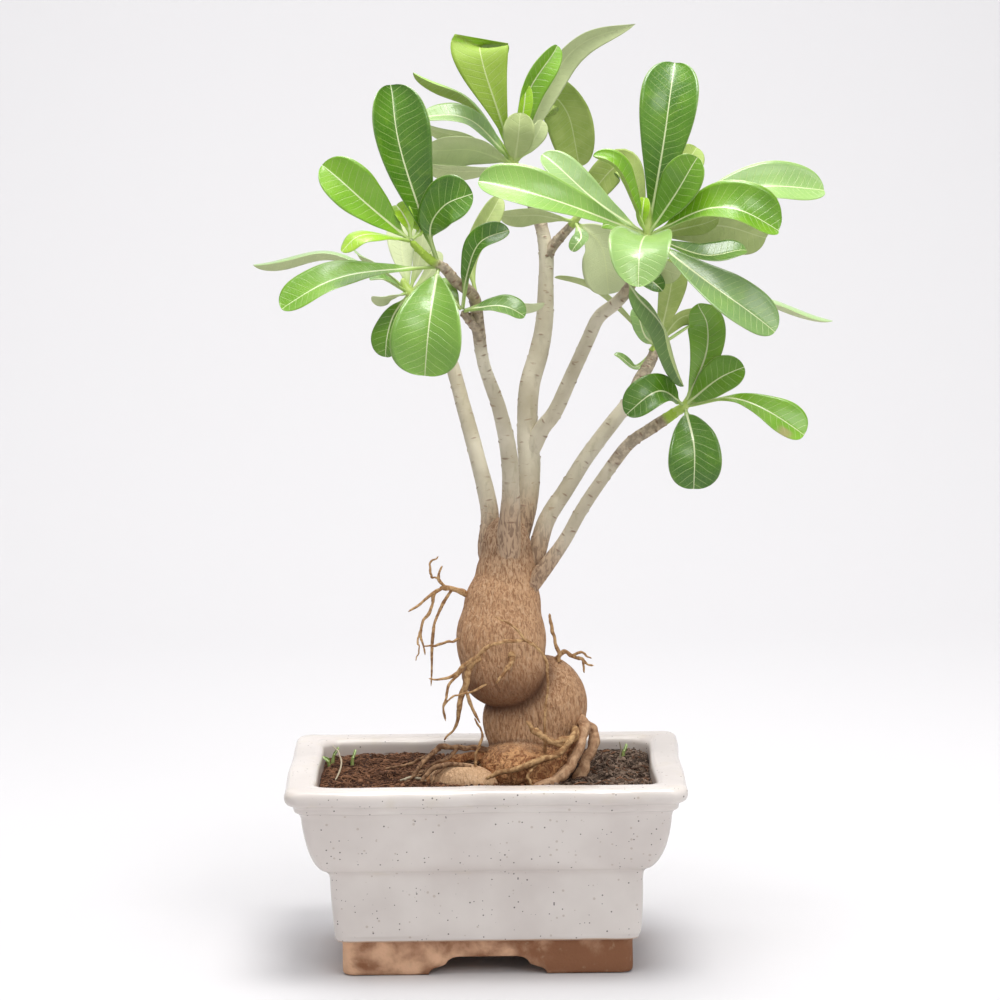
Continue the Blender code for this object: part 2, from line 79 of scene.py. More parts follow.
def smooth_path(chain, per_span):
    """A Catmull-Rom curve through the chain's rows: the four rows round each span, weighted by
    cubic polynomials of the way along it, per_span points to a span."""
    chain = np.asarray(chain, float)
    padded = np.vstack([2 * chain[0] - chain[1], chain, 2 * chain[-1] - chain[-2]])
    t = np.linspace(0, 1, per_span, endpoint=False)[None, :, None]
    a, b, c, d = (padded[k:len(chain) - 1 + k, None] for k in range(4))
    rows = 0.5 * (2 * b + (c - a) * t + (2 * a - 5 * b + 4 * c - d) * t ** 2
                  + (3 * b - a - 3 * c + d) * t ** 3)
    return np.vstack([rows.reshape(-1, chain.shape[1]), chain[-1]])


def grid_faces(rows, columns, rows_meet):
    """Quads between the rows of a grid whose every row is a closed ring."""
    i, j = np.meshgrid(np.arange(rows if rows_meet else rows - 1), np.arange(columns),
                       indexing="ij")
    below, beside = (i + 1) % rows, (j + 1) % columns
    return np.stack([i * columns + j, i * columns + beside, below * columns + beside,
                     below * columns + j], axis=-1).reshape(-1, 4)


def skin(rings):
    """Points and faces over rings of equal length, each end closed by a fan to its middle."""
    rows, columns = rings.shape[:2]
    points = np.vstack([rings.reshape(-1, 3), rings[0].mean(axis=0), rings[-1].mean(axis=0)])
    ring = np.arange(columns)
    after = np.roll(ring, -1)
    last = (rows - 1) * columns
    first_pole, last_pole = rows * columns, rows * columns + 1
    fans = np.vstack([np.stack([after, ring, np.full(columns, first_pole)], axis=1),
                      np.stack([last + ring, last + after, np.full(columns, last_pole)], axis=1)])
    return points, grid_faces(rows, columns, False).tolist() + fans.tolist()


def add_piece(name, points, faces, finish, slot_name, *nodes, **attributes):
    """A smooth object from points in metres. Faces that enclose a negative volume are turned
    round. Each attribute gives every point three numbers for the material to read."""
    points = np.asarray(points, float)
    centred = points - points.mean(axis=0)
    corners = np.array([face[:3] for face in faces])
    far = np.array([[face[0], face[2], face[-1]] for face in faces])
    volume = (np.linalg.det(centred[corners]) + np.linalg.det(centred[far])).sum()
    if volume < 0:
        faces = [face[::-1] for face in faces]
    mesh = bpy.data.meshes.new(name)
    mesh.from_pydata(points.tolist(), [], faces)
    mesh.shade_smooth()
    for attribute, values in attributes.items():
        layer = mesh.attributes.new(attribute, "FLOAT_VECTOR", "POINT")
        layer.data.foreach_set("vector", np.asarray(values, np.float32).ravel())
    mesh.materials.append(finish)
    piece = bpy.data.objects.new(name, mesh)
    bpy.context.scene.collection.objects.link(piece)
    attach(piece, "root")
    if nodes:
        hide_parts(*nodes)
    return piece


def new_finish(name, roughness, specular=0.5):
    """A material with its shader, its node tree and the object's own coordinates in it."""
    made = bpy.data.materials.new(name)
    made.use_nodes = True
    tree = made.node_tree
    shader = tree.nodes["Principled BSDF"]
    shader.inputs["Roughness"].default_value = roughness
    shader.inputs["Specular IOR Level"].default_value = specular
    where = tree.nodes.new("ShaderNodeTexCoord").outputs["Object"]
    return made, tree, shader, where


def wire(tree, kind, inputs, **settings):
    """A node with its settings, and with each input linked to a socket or set to a value."""
    made = tree.nodes.new(kind)
    for key, value in settings.items():
        setattr(made, key, value)
    for key, value in inputs.items():
        if isinstance(value, bpy.types.NodeSocket):
            tree.links.new(value, made.inputs[key])
        else:
            made.inputs[key].default_value = value
    return made


def maths(tree, operation, *values):
    return wire(tree, "ShaderNodeMath", dict(enumerate(values)), operation=operation).outputs[0]


def fade(tree, value, start, end, low=0.0, high=1.0):
    """The value carried smoothly from low at start to high at end, and held beyond them."""
    return wire(tree, "ShaderNodeMapRange", {0: value, 1: start, 2: end, 3: low, 4: high},
                interpolation_type="SMOOTHSTEP").outputs[0]


def noise(tree, vector, scale, detail=3.0, distortion=0.0):
    return wire(tree, "ShaderNodeTexNoise", {"Vector": vector, "Scale": scale, "Detail": detail,
                                             "Distortion": distortion}).outputs["Fac"]


def stretched(tree, vector, scale):
    return wire(tree, "ShaderNodeMapping", {"Vector": vector, "Scale": scale}).outputs["Vector"]


def tint(tree, factor, first, second):
    """The first colour carried to the second by the factor."""
    first, second = ((*c, 1.0) if isinstance(c, tuple) else c for c in (first, second))
    return wire(tree, "ShaderNodeMix", {0: factor, 6: first, 7: second},
                data_type="RGBA").outputs[2]


def raise_surface(tree, shader, height, depth_mm):
    """Gives the shader a bump of the height, which runs from 0 to 1 over the depth."""
    bump = wire(tree, "ShaderNodeBump", {"Height": height, "Distance": depth_mm * MM,
                                         "Strength": 1.0})
    tree.links.new(bump.outputs["Normal"], shader.inputs["Normal"])


def split(tree, vector):
    parts = wire(tree, "ShaderNodeSeparateXYZ", {0: vector})
    return parts.outputs[0], parts.outputs[1], parts.outputs[2]


def specks(tree, where, cell_mm, largest, share, seed):
    """Round spots, one at most to a cell: the cell's random colour says whether it has a spot
    and how large it is."""
    moved = wire(tree, "ShaderNodeMapping", {"Vector": where, "Location": (seed, 0.37 * seed, 0)})
    cells = wire(tree, "ShaderNodeTexVoronoi", {"Vector": moved.outputs[0],
                                                "Scale": 1 / (cell_mm * MM)})
    chance = split(tree, cells.outputs["Color"])[0]
    size = maths(tree, "MULTIPLY", fade(tree, chance, 1 - share, 1.0, 0.0, 1.0), largest)
    return maths(tree, "MULTIPLY",
                 fade(tree, maths(tree, "SUBTRACT", cells.outputs["Distance"], size), 0.03, -0.03),
                 maths(tree, "GREATER_THAN", chance, 1 - share))


def pot_finish():
    made, tree, shader, where = new_finish("speckled_glaze_and_clay", 0.2)
    height = split(tree, where)[2]
    cloud = noise(tree, where, 22.0, 4.0)
    glaze = tint(tree, fade(tree, cloud, 0.3, 0.7), (0.62, 0.565, 0.53), (0.71, 0.66, 0.62))
    thin = maths(tree, "MULTIPLY", fade(tree, noise(tree, where, 90.0, 3.0), 0.5, 0.75),
                 maths(tree, "ADD", fade(tree, height, 0.0925, 0.0965),
                       fade(tree, maths(tree, "ABSOLUTE", maths(tree, "SUBTRACT", height, 0.057)),
                            0.003, 0.0)))
    glaze = tint(tree, maths(tree, "MULTIPLY", thin, 0.3), glaze, (0.62, 0.55, 0.43))
    dark = specks(tree, where, 2.3, 0.2, 0.4, 3.0)
    soft = specks(tree, where, 3.2, 0.24, 0.3, 8.0)
    glaze = tint(tree, maths(tree, "MULTIPLY", soft, 0.4), glaze, (0.33, 0.24, 0.17))
    glaze = tint(tree, maths(tree, "MULTIPLY", dark, 0.85), glaze, (0.09, 0.075, 0.07))
    mottle = noise(tree, where, 64.0, 7.0, 0.2)
    across = split(tree, where)[0]
    burnt = fade(tree, maths(tree, "ADD", across, maths(tree, "MULTIPLY", mottle, 0.16)),
                 POT_MIDDLE[0] + 0.0, POT_MIDDLE[0] + 0.15, 0.0, 0.28)
    clay = tint(tree, fade(tree, maths(tree, "ADD", mottle, burnt), 0.34, 0.78),
                (0.72, 0.44, 0.275), (0.25, 0.105, 0.048))
    clay = tint(tree, fade(tree, noise(tree, where, 260.0, 5.0), 0.58, 0.85, 0.0, 0.6), clay,
                (0.56, 0.37, 0.23))
    edge = maths(tree, "ADD", height, maths(tree, "MULTIPLY", noise(tree, where, 60.0), 0.0016))
    bare = fade(tree, edge, (GLAZE_EDGE + 1.0) * MM, (GLAZE_EDGE + 0.5) * MM)
    rim_line = fade(tree, maths(tree, "ABSOLUTE", maths(tree, "SUBTRACT", edge,
                                                        (GLAZE_EDGE + 1.3) * MM)), 0.0009, 0.0)
    glaze = tint(tree, maths(tree, "MULTIPLY", rim_line, 0.75), glaze, (0.50, 0.30, 0.16))
    tree.links.new(tint(tree, bare, glaze, clay), shader.inputs["Base Color"])
    tree.links.new(fade(tree, bare, 0.0, 1.0, 0.2, 0.85), shader.inputs["Roughness"])
    grain = maths(tree, "MULTIPLY", maths(tree, "MULTIPLY", bare, 0.9),
                  noise(tree, where, 700.0, 4.0))
    ripple = maths(tree, "MULTIPLY", noise(tree, where, 120.0, 2.0), 0.16)
    raise_surface(tree, shader, maths(tree, "ADD", grain, ripple), 0.5)
    return made


def rectangle_template(long_way, short_way, corner_steps):
    """The ring's points once round, as a corner sign and a direction each: a point of any
    rounded rectangle is sign times (half size minus radius), plus direction times radius."""
    quarter = np.linspace(0, 0.5 * np.pi, corner_steps)
    signs, ways = [], []
    corners = ((1, 1), (-1, 1), (-1, -1), (1, -1))
    for number, corner in enumerate(corners):
        turn = quarter + number * 0.5 * np.pi
        following = corners[(number + 1) % 4]
        share = (long_way, short_way)[number % 2]
        share = 0.5 * (1 + share[np.abs(share) < 0.999])[:, None]
        signs += [np.tile(corner, (corner_steps, 1)), corner + share * np.subtract(following, corner)]
        ways += [np.stack([np.cos(turn), np.sin(turn)], axis=1),
                 np.tile((np.cos(turn[-1]), np.sin(turn[-1])), (len(share), 1))]
    return np.vstack(signs), np.vstack(ways)


def pot_surface():
    """A closed profile carried round a rounded rectangle. The profile runs up the outside, down
    the inside, in to the round drain hole, and back out under the floor and the foot. A point
    of the foot band is lifted to the cut-out's outline where it lies between two feet."""
    even, crowded = np.linspace(-1, 1, 61), np.linspace(0.19, 0.45, 26)
    long_way = np.unique(np.concatenate([even, crowded, -crowded]))
    short_crowded = np.linspace(0.08, 0.54, 20)
    short_way = np.unique(np.concatenate([even[::2], short_crowded, -short_crowded]))
    signs, ways = rectangle_template(long_way, short_way, 12)
    wall = smooth_path(POT_OUTSIDE, 4)
    insets, heights = wall[:, 0], wall[:, 1]
    half = POT_HALF[None] - insets[:, None]
    radius = np.maximum(9.0 - 0.35 * insets, 5.0)
    radius[INSIDE_FROM * 4:] = INSIDE_CORNER
    drain = [(half_x, half_y, r, z) for (half_x, half_y, r, z) in (
        (45.0, 24.0, 8.0, FLOOR_TOP), (9.0, 9.0, 9.0, FLOOR_TOP),
        (DRAIN_RADIUS, DRAIN_RADIUS, DRAIN_RADIUS, FLOOR_TOP - 1),
        (DRAIN_RADIUS, DRAIN_RADIUS, DRAIN_RADIUS, FLOOR_UNDER + 1), (9.0, 9.0, 9.0, FLOOR_UNDER),
        (45.0, 24.0, 8.0, FLOOR_UNDER))]
    recess = POT_HALF - RECESS_INSET
    foot = [(recess[0] + grow, recess[1] + grow, 5.0, z) for grow, z in (
        (-1.0, FLOOR_UNDER), (0.0, FLOOR_UNDER - 1), (0.0, 10.6), (0.0, 6.0), (0.0, 3.0),
        (0.4, 1.0), (2.0, 0.0), (6.0, 0.0), (10.0, 0.0))]
    rows = np.vstack([np.column_stack([half, radius, heights]), drain, foot])
    r = rows[:, 2, None, None]
    flat = signs * (rows[:, None, :2] - r) + ways * r
    z = np.repeat(rows[:, 3, None], len(signs), axis=1)
    away = np.where(np.abs(flat[..., 1]) > recess[1] - 1, np.abs(flat[..., 0]),
                    np.abs(flat[..., 1]) + SIDE_CUTOUT_SHIFT)
    outline = smooth_path(FRONT_CUTOUT, 4)
    lift = np.interp(away, outline[:, 0], outline[:, 1], right=0.0)
    in_band = (z < GLAZE_EDGE) & (rows[:, 0, None] > recess[0] - 0.5)
    squeezed = lift + z * (GLAZE_EDGE - lift) / GLAZE_EDGE
    z = np.where(in_band, np.where(rows[:, 0, None] > recess[0] + 0.1, squeezed,
                                   np.maximum(z, lift)), z)
    x, y = flat[..., 0], flat[..., 1]
    uneven = 0.35 * np.sin(x / 23 + 0.8) * np.cos(y / 19) + 0.25 * np.sin((x - y + z) / 11)
    outer = (z > 22) & (rows[:, 0, None] > 70)
    flat = flat + np.where(outer, uneven, 0)[..., None] * ways
    sag = np.clip((z - 50) / 55, 0, 1)
    z = z + sag * (0.28 * np.sin(x / 17 + 1.0) + 0.22 * np.sin(x / 6.5 + y / 15)) * (z < 104.5)
    return np.concatenate([flat, z[..., None]], axis=2)


glaze_and_clay = pot_finish()
pot_rings = pot_surface()
add_piece("glazed_pot", place(pot_rings.reshape(-1, 3)),
          grid_faces(*pot_rings.shape[:2], True).tolist(), glaze_and_clay,
          "glazed_stoneware", "pot")


# ---- Soil -----------------------------------------------------------------------------------
# Coir and garden soil pressed round the plant, a little below the rim. Short red-brown fibres
# lie loose on the left, grey clods and bark on the right, and nothing but its weight holds it.

SOIL_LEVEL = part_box("soil")[1].z / MM - 1.4
SOIL_INSET = LIP_WIDTH + 0.35
SOIL_CORNER = INSIDE_CORNER


def value_noise(x, y, size, seed):
    """Smooth noise from -1 to 1: random heights on a square lattice of the given size, eased
    between lattice points by a cubic."""
    lattice = np.random.default_rng(seed).uniform(-1, 1, (64, 64))
    x, y = np.asarray(x) / size + 31, np.asarray(y) / size + 31
    i, j = np.floor(x).astype(int), np.floor(y).astype(int)
    u, v = x - i, y - j
    u, v = u * u * (3 - 2 * u), v * v * (3 - 2 * v)
    i, j, right, up = i % 64, j % 64, (i + 1) % 64, (j + 1) % 64
    return ((lattice[i, j] * (1 - u) + lattice[right, j] * u) * (1 - v)
            + (lattice[i, up] * (1 - u) + lattice[right, up] * u) * v)


def soil_height(x, y):
    """The soil's top: broad waves, lumps a few millimetres wide, and crumbs. The lumps are
    higher to the right, and the soil dips where it meets the pot."""
    cloddy = np.clip((x - 25) / 30, 0, 1)
    lumps = 1 - np.abs(value_noise(x, y, 7.0, 5)) * 2
    lift = 1.1 * value_noise(x, y, 21.0, 1) + 0.7 * value_noise(x, y, 5.0, 2)
    lift = lift + (0.3 + 1.0 * cloddy) * lumps + 0.45 * value_noise(x, y, 1.9, 3)
    lift = lift + 0.3 * value_noise(x, y, 0.9, 4)
    lift = lift + 5.0 * np.exp(-((x - 64) / 7) ** 2 - ((y - 12) / 11) ** 2)
    to_wall = np.minimum(POT_HALF[0] - SOIL_INSET - np.abs(x), POT_HALF[1] - SOIL_INSET - np.abs(y))
    return SOIL_LEVEL + lift - 1.4 * np.exp(-np.maximum(to_wall, 0) / 3.0)


def soil_surface(columns=330, rows=220):
    """A rectangular grid pulled in to the rounded rectangle of the pot's inside: each point
    moves toward the middle by the ratio of the two outlines in its direction."""
    half = POT_HALF - SOIL_INSET
    x, y = np.meshgrid(np.linspace(-1, 1, columns) * half[0], np.linspace(-1, 1, rows) * half[1])
    stretch = np.maximum(np.abs(x) / half[0], np.abs(y) / half[1])
    scale = np.where(stretch > 0, 1 / np.maximum(stretch, 1e-9), 1)
    edge_x, edge_y = np.abs(x) * scale, np.abs(y) * scale
    over_x = np.maximum(edge_x - (half[0] - SOIL_CORNER), 0)
    over_y = np.maximum(edge_y - (half[1] - SOIL_CORNER), 0)
    pull = np.where((over_x > 0) & (over_y > 0), np.hypot(over_x, over_y) - SOIL_CORNER, 0)
    ratio = 1 - np.maximum(pull, 0) / np.hypot(edge_x, edge_y).clip(1)
    x, y = x * ratio, y * ratio
    return np.stack([x, y, soil_height(x, y)], axis=-1)


def close_below(top):
    """Faces over the grid's top, with a skirt from its edge down to the pot's floor and a fan
    that closes it there."""
    rows, columns = top.shape[:2]
    number = np.arange(rows * columns).reshape(rows, columns)
    quads = np.stack([number[:-1, :-1], number[:-1, 1:], number[1:, 1:], number[1:, :-1]],
                     axis=-1).reshape(-1, 4)
    edge = np.concatenate([number[0, :-1], number[:-1, -1], number[-1, :0:-1], number[:0:-1, 0]])
    rim = top.reshape(-1, 3)[edge]
    shrink, levels = (0.995, 0.93, 0.83, 0.77), (84.0, 68.0, 50.0, FLOOR_TOP + 0.5)
    skirt = [rim * (s, s, 0) + (0, 0, z) for s, z in zip(shrink, levels)]
    points = np.vstack([top.reshape(-1, 3)] + skirt + [(0, 0, levels[-1])])
    count, faces, upper = len(edge), quads.tolist(), edge
    for level in range(len(levels)):
        lower = rows * columns + level * count + np.arange(count)
        faces += np.stack([lower, np.roll(lower, -1), np.roll(upper, -1), upper], axis=1).tolist()
        upper = lower
    middle = np.full(count, len(points) - 1)
    return points, faces + np.stack([np.roll(upper, -1), upper, middle], axis=1).tolist()


def earth_finish():
    made, tree, shader, where = new_finish("damp_coir_soil", 0.92, 0.25)
    across = split(tree, where)[0]
    crumbs = noise(tree, where, 420.0, 6.0, 0.4)
    red = tint(tree, fade(tree, crumbs, 0.36, 0.68), (0.02, 0.008, 0.004), (0.155, 0.062, 0.029))
    grey = tint(tree, fade(tree, crumbs, 0.38, 0.66), (0.032, 0.02, 0.014), (0.20, 0.14, 0.10))
    side = fade(tree, maths(tree, "ADD", across,
                            maths(tree, "MULTIPLY", noise(tree, where, 60.0), 0.03)),
                POT_MIDDLE[0] + 0.045, POT_MIDDLE[0] + 0.065)
    tree.links.new(tint(tree, side, red, grey), shader.inputs["Base Color"])
    raise_surface(tree, shader, noise(tree, where, 900.0, 5.0), 0.5)
    return made


earth = earth_finish()
points, faces = close_below(soil_surface())
add_piece("soil_bed", place(points), faces, earth, "potting_soil", "soil")


def scattered_fibres(count, seed, span_x, length, thickness, lift):
    """Three-sided tapering tubes that lie on the soil: each starts at a random place and bends
    by a steady angle along its length, and its middle stands a little clear of the soil."""
    random = np.random.default_rng(seed)
    start = np.column_stack([random.uniform(*span_x, count),
                             random.uniform(-1, 1, count) * (POT_HALF[1] - SOIL_INSET - 6)])
    heading, bend = random.uniform(0, 2 * np.pi, count), random.normal(0, 1.6, count)
    long, thick = random.uniform(*length, count), random.uniform(*thickness, count)
    s = np.linspace(-0.5, 0.5, 6)
    turn = heading[:, None] + bend[:, None] * s
    x = start[:, 0, None] + long[:, None] * s * np.cos(turn)
    y = start[:, 1, None] + long[:, None] * s * np.sin(turn)
    limit = POT_HALF - SOIL_INSET - 1.0
    x, y = np.clip(x, -limit[0], limit[0]), np.clip(y, -limit[1], limit[1])
    hump = random.uniform(*lift, count)[:, None] * (1 - 4 * s ** 2)
    z = soil_height(x, y) + hump
    centre = np.stack([x, y, z], axis=-1)
    radius = thick[:, None] * (1 - 1.5 * s ** 2)
    side = np.stack([-np.sin(turn), np.cos(turn), 0 * turn], axis=-1)
    angles = np.array([0.5, 0.5 + 2 / 3, 0.5 + 4 / 3]) * np.pi
    rings = centre[:, :, None] + radius[:, :, None, None] * (
        np.cos(angles)[:, None] * side[:, :, None]
        + np.sin(angles)[:, None] * np.array([0.0, 0.0, 1.0]))
    tone = np.repeat(random.uniform(0, 1, count), 18)
    local = grid_faces(6, 3, False)
    offset = 18 * np.arange(count)[:, None, None]
    quads = (local[None] + offset).reshape(-1, 4).tolist()
    ends = (np.array([[2, 1, 0], [15, 16, 17]])[None] + offset).reshape(-1, 3).tolist()
    return rings.reshape(-1, 3), quads + ends, np.column_stack([tone, 0 * tone, 0 * tone])


def fibre_finish(name, dark, light):
    made, tree, shader, where = new_finish(name, 0.85, 0.3)
    tone = split(tree, wire(tree, "ShaderNodeAttribute", {}, attribute_name="tone").outputs[1])[0]
    mixed = maths(tree, "ADD", tone, maths(tree, "MULTIPLY", noise(tree, where, 500.0), 0.3))
    tree.links.new(tint(tree, fade(tree, mixed, 0.1, 1.25), dark, light),
                   shader.inputs["Base Color"])
    return made


coir = fibre_finish("dry_coir", (0.04, 0.015, 0.008), (0.27, 0.13, 0.068))
straw = fibre_finish("grey_bark_shreds", (0.05, 0.03, 0.02), (0.27, 0.19, 0.14))
pale_straw = fibre_finish("dry_weed_stalk", (0.30, 0.25, 0.16), (0.52, 0.45, 0.33))
FIBRES = {
    "coir_fibres_left": (2400, 11, (-86, 20), (3, 9), (0.14, 0.34), (0.1, 1.1), coir),
    "coir_long_fibres": (260, 12, (-84, 86), (9, 17), (0.2, 0.42), (0.3, 2.0), coir),
    "shreds_right": (1100, 13, (34, 86), (2.5, 8), (0.2, 0.55), (0.1, 1.3), straw),
}
for name, (*measures, finish) in FIBRES.items():
    points, faces, tone = scattered_fibres(*measures)
    add_piece(name, place(points), faces, finish, "potting_soil", tone=tone)


def scattered_clods(count, seed, span_x, size):
    """Crumbs: a small sphere of points for each, with random lengths along three turned axes
    and a random dent at every point."""
    random = np.random.default_rng(seed)
    polar, round_way = np.linspace(0, np.pi, 7)[1:-1], np.arange(7) * 2 * np.pi / 7
    ball = np.stack([np.outer(np.sin(polar), np.cos(round_way)),
                     np.outer(np.sin(polar), np.sin(round_way)),
                     np.outer(np.cos(polar), np.ones(7))], axis=-1)
    points, faces = skin(ball)
    points[-2], points[-1] = (0, 0, 1), (0, 0, -1)
    number = len(points)
    spot = np.column_stack([random.uniform(*span_x, count),
                            random.uniform(-1, 1, count) * (POT_HALF[1] - SOIL_INSET - 3)])
    axes = np.linalg.qr(random.normal(size=(count, 3, 3)))[0]
    size = random.uniform(*size, count)[:, None, None] * random.uniform(0.45, 1, (count, 1, 3))
    dented = points[None] * random.uniform(0.78, 1.12, (count, number, 1)) * size
    centre = np.column_stack([spot, soil_height(spot[:, 0], spot[:, 1]) + 0.4])
    placed = centre[:, None] + np.einsum("nij,njk->nik", dented, axes)
    tone = np.repeat(random.uniform(0, 1, count), number)
    offset = number * np.arange(count)
    joined = [[corner + shift for corner in face] for shift in offset.tolist() for face in faces]
    return placed.reshape(-1, 3), joined, np.column_stack([tone, 0 * tone, 0 * tone])


CLODS = {"red_crumbs": (420, 21, (-85, 30), (0.6, 2.0), coir),
         "grey_clods": (300, 22, (36, 85), (0.6, 2.1), straw)}
for name, (*measures, finish) in CLODS.items():
    points, faces, tone = scattered_clods(*measures)
    add_piece(name, place(points), faces, finish, "potting_soil", tone=tone)


# ---- Caudex ---------------------------------------------------------------------------------
# The swollen foot of the plant, which stores its water: an upper bulb that has folded over a
# lower lobe, on a rough flared base. It was lifted when repotted, so its roots show. It has thin
# tan skin in fine lengthwise wrinkles.

PLANT_FOOT = np.array([0.0, 0.0, 92.0])
PLANT_LEAN = np.radians([-2.6, 0.67])   # about X, then about Y
BULB = (                       # the folded-over upper bulb and its neck: (middle, radii)
    ((11, -1, 219), (12.5, 11, 17)), ((11, 0, 205), (15.5, 14, 16)), ((9, -1, 190), (20, 18, 18)),
    ((8, -3, 170), (24, 22, 27)), ((10, -7, 152), (22.5, 19, 17.5)))
LOBE = (                       # the lobe behind and below it
    ((30, 3, 134), (24, 20, 27)), ((14, 0, 127), (15.5, 15, 20)), ((26, 1, 113), (23, 18, 17)))
BASE = (                       # the rough base that the lobe stands on
    ((20.5, -7, 103.5), (24, 20, 16)), ((20, 0, 82), (17, 15, 13)))
SOFT, CREASED = 1.7, 0.35      # how one swelling runs into the next, within a group and between
CORE = ((20, 0, 70), (20, -1, 95), (23, 0, 113), (24, 1, 130), (21, 0, 143), (14, -3, 156),
        (8, -3, 170), (9, -1, 190), (11, 0, 205), (11, -1, 235))


def lean(points):
    """Turns the plant about its foot, by its lean to the back and then to the right."""
    moved = np.asarray(points, float) - PLANT_FOOT
    (cos_a, cos_b), (sin_a, sin_b) = np.cos(PLANT_LEAN), np.sin(PLANT_LEAN)
    about_x = np.array([[1, 0, 0], [0, cos_a, -sin_a], [0, sin_a, cos_a]])
    about_y = np.array([[cos_b, 0, sin_b], [0, 1, 0], [-sin_b, 0, cos_b]])
    return moved @ about_x.T @ about_y.T + PLANT_FOOT


def soft_least(distances, softness):
    """The least of some distances, with the corner where two are equal rounded off."""
    return -softness * np.log(sum(np.exp(-(d / softness).clip(-60, 60)) for d in distances))


def group_distance(points, swellings):
    """Below zero inside a group: the distance to an ellipsoid is, near enough, k (k - 1) / m,
    with k the length of the point over the radii and m over their squares."""
    distances = []
    for middle, radii in swellings:
        away = (points - np.array(middle, float)) / radii
        near = np.linalg.norm(away, axis=-1)
        distances.append(near * (near - 1) / np.linalg.norm(away / radii, axis=-1).clip(1e-6))
    return soft_least(distances, SOFT)


def swelling_field(points):
    return soft_least([group_distance(points, group) for group in (BULB, LOBE, BASE)], CREASED)


def caudex_surface(rows=280, columns=400):
    """Level sections round a bent core line: in every direction the reach is found by walking
    in from outside to the field's zero. Lengthwise ridges, cross furrows and
    lumps are added to the reach, coarser on the base."""
    core = np.array(CORE, float)
    z = np.linspace(core[0, 2] + 0.5, core[-1, 2] - 0.5, rows)
    middle = np.stack([np.interp(z, core[:, 2], core[:, axis]) for axis in (0, 1)], axis=1)
    angle = np.linspace(0, 2 * np.pi, columns, endpoint=False)
    way = np.stack([np.cos(angle), np.sin(angle)], axis=1)
    reach = np.full((rows, columns), 44.0)

    def at(distance):
        flat = middle[:, None] + distance[..., None] * way
        return np.concatenate([flat, np.broadcast_to(z[:, None, None], (*distance.shape, 1))],
                              axis=2)

    for _ in range(60):
        reach = np.maximum(reach - 0.7 * swelling_field(at(reach)).clip(0, 4), 0.6)
    round_way = ((angle - 0.5 * np.pi) % (2 * np.pi))[None] * 25 + 0 * z[:, None]
    up = z[:, None] + 0 * angle[None]
    seam = (np.abs(angle - 0.5 * np.pi)[None] / 0.25).clip(0, 1)
    sway = 3.0 * value_noise(round_way * 0.4, up, 17.0, 31)
    ridges = value_noise((round_way + sway) * 2.2, up * 0.22, 3.0, 32)
    fine = value_noise((round_way + sway) * 4.5, up * 0.5, 3.0, 33)
    lumps = value_noise(round_way, up, 13.0, 34)
    rough = value_noise(round_way * 2, up * 1.4, 3.4, 35)
    base = np.clip((116 - up) / 8, 0, 1)
    relief = 0.3 * ridges + 0.14 * fine + 0.5 * lumps + base * (0.5 * rough + 0.25 * fine)
    points = at(reach + relief * seam)
    # Painted shade: the crease term darkens the fold between bulb and lobe and the front seam of lobe
    # and base, and the overhang and underside terms darken the skin where the bulb hangs over.
    bulb, lobe, foot = (group_distance(points, group) for group in (BULB, LOBE, BASE))
    gap = bulb - lobe
    painted_crease_shade = np.exp(-(gap / np.where(gap > 0, 5.0, 4.2)) ** 2) * np.clip((168 - up) / 14, 0, 1)
    painted_crease_shade = painted_crease_shade + 0.7 * np.exp(-((lobe - foot) / 1.1) ** 2) * (points[..., 1] < 6)
    painted_overhang_shade = np.clip(-swelling_field(points + (0, -3.0, 4.5)) / 4.0, 0, 1)
    painted_underside_shade = np.clip((164 - up) / 17, 0, 1) * np.clip((lobe - bulb) / 2.0, 0, 1)
    painted_overhang_shade = np.maximum(painted_overhang_shade, 0.95 * painted_underside_shade)
    neck = np.clip((up - 201) / 18, 0, 1)
    return points, np.stack([painted_crease_shade.clip(0, 1), painted_overhang_shade, neck], axis=-1)


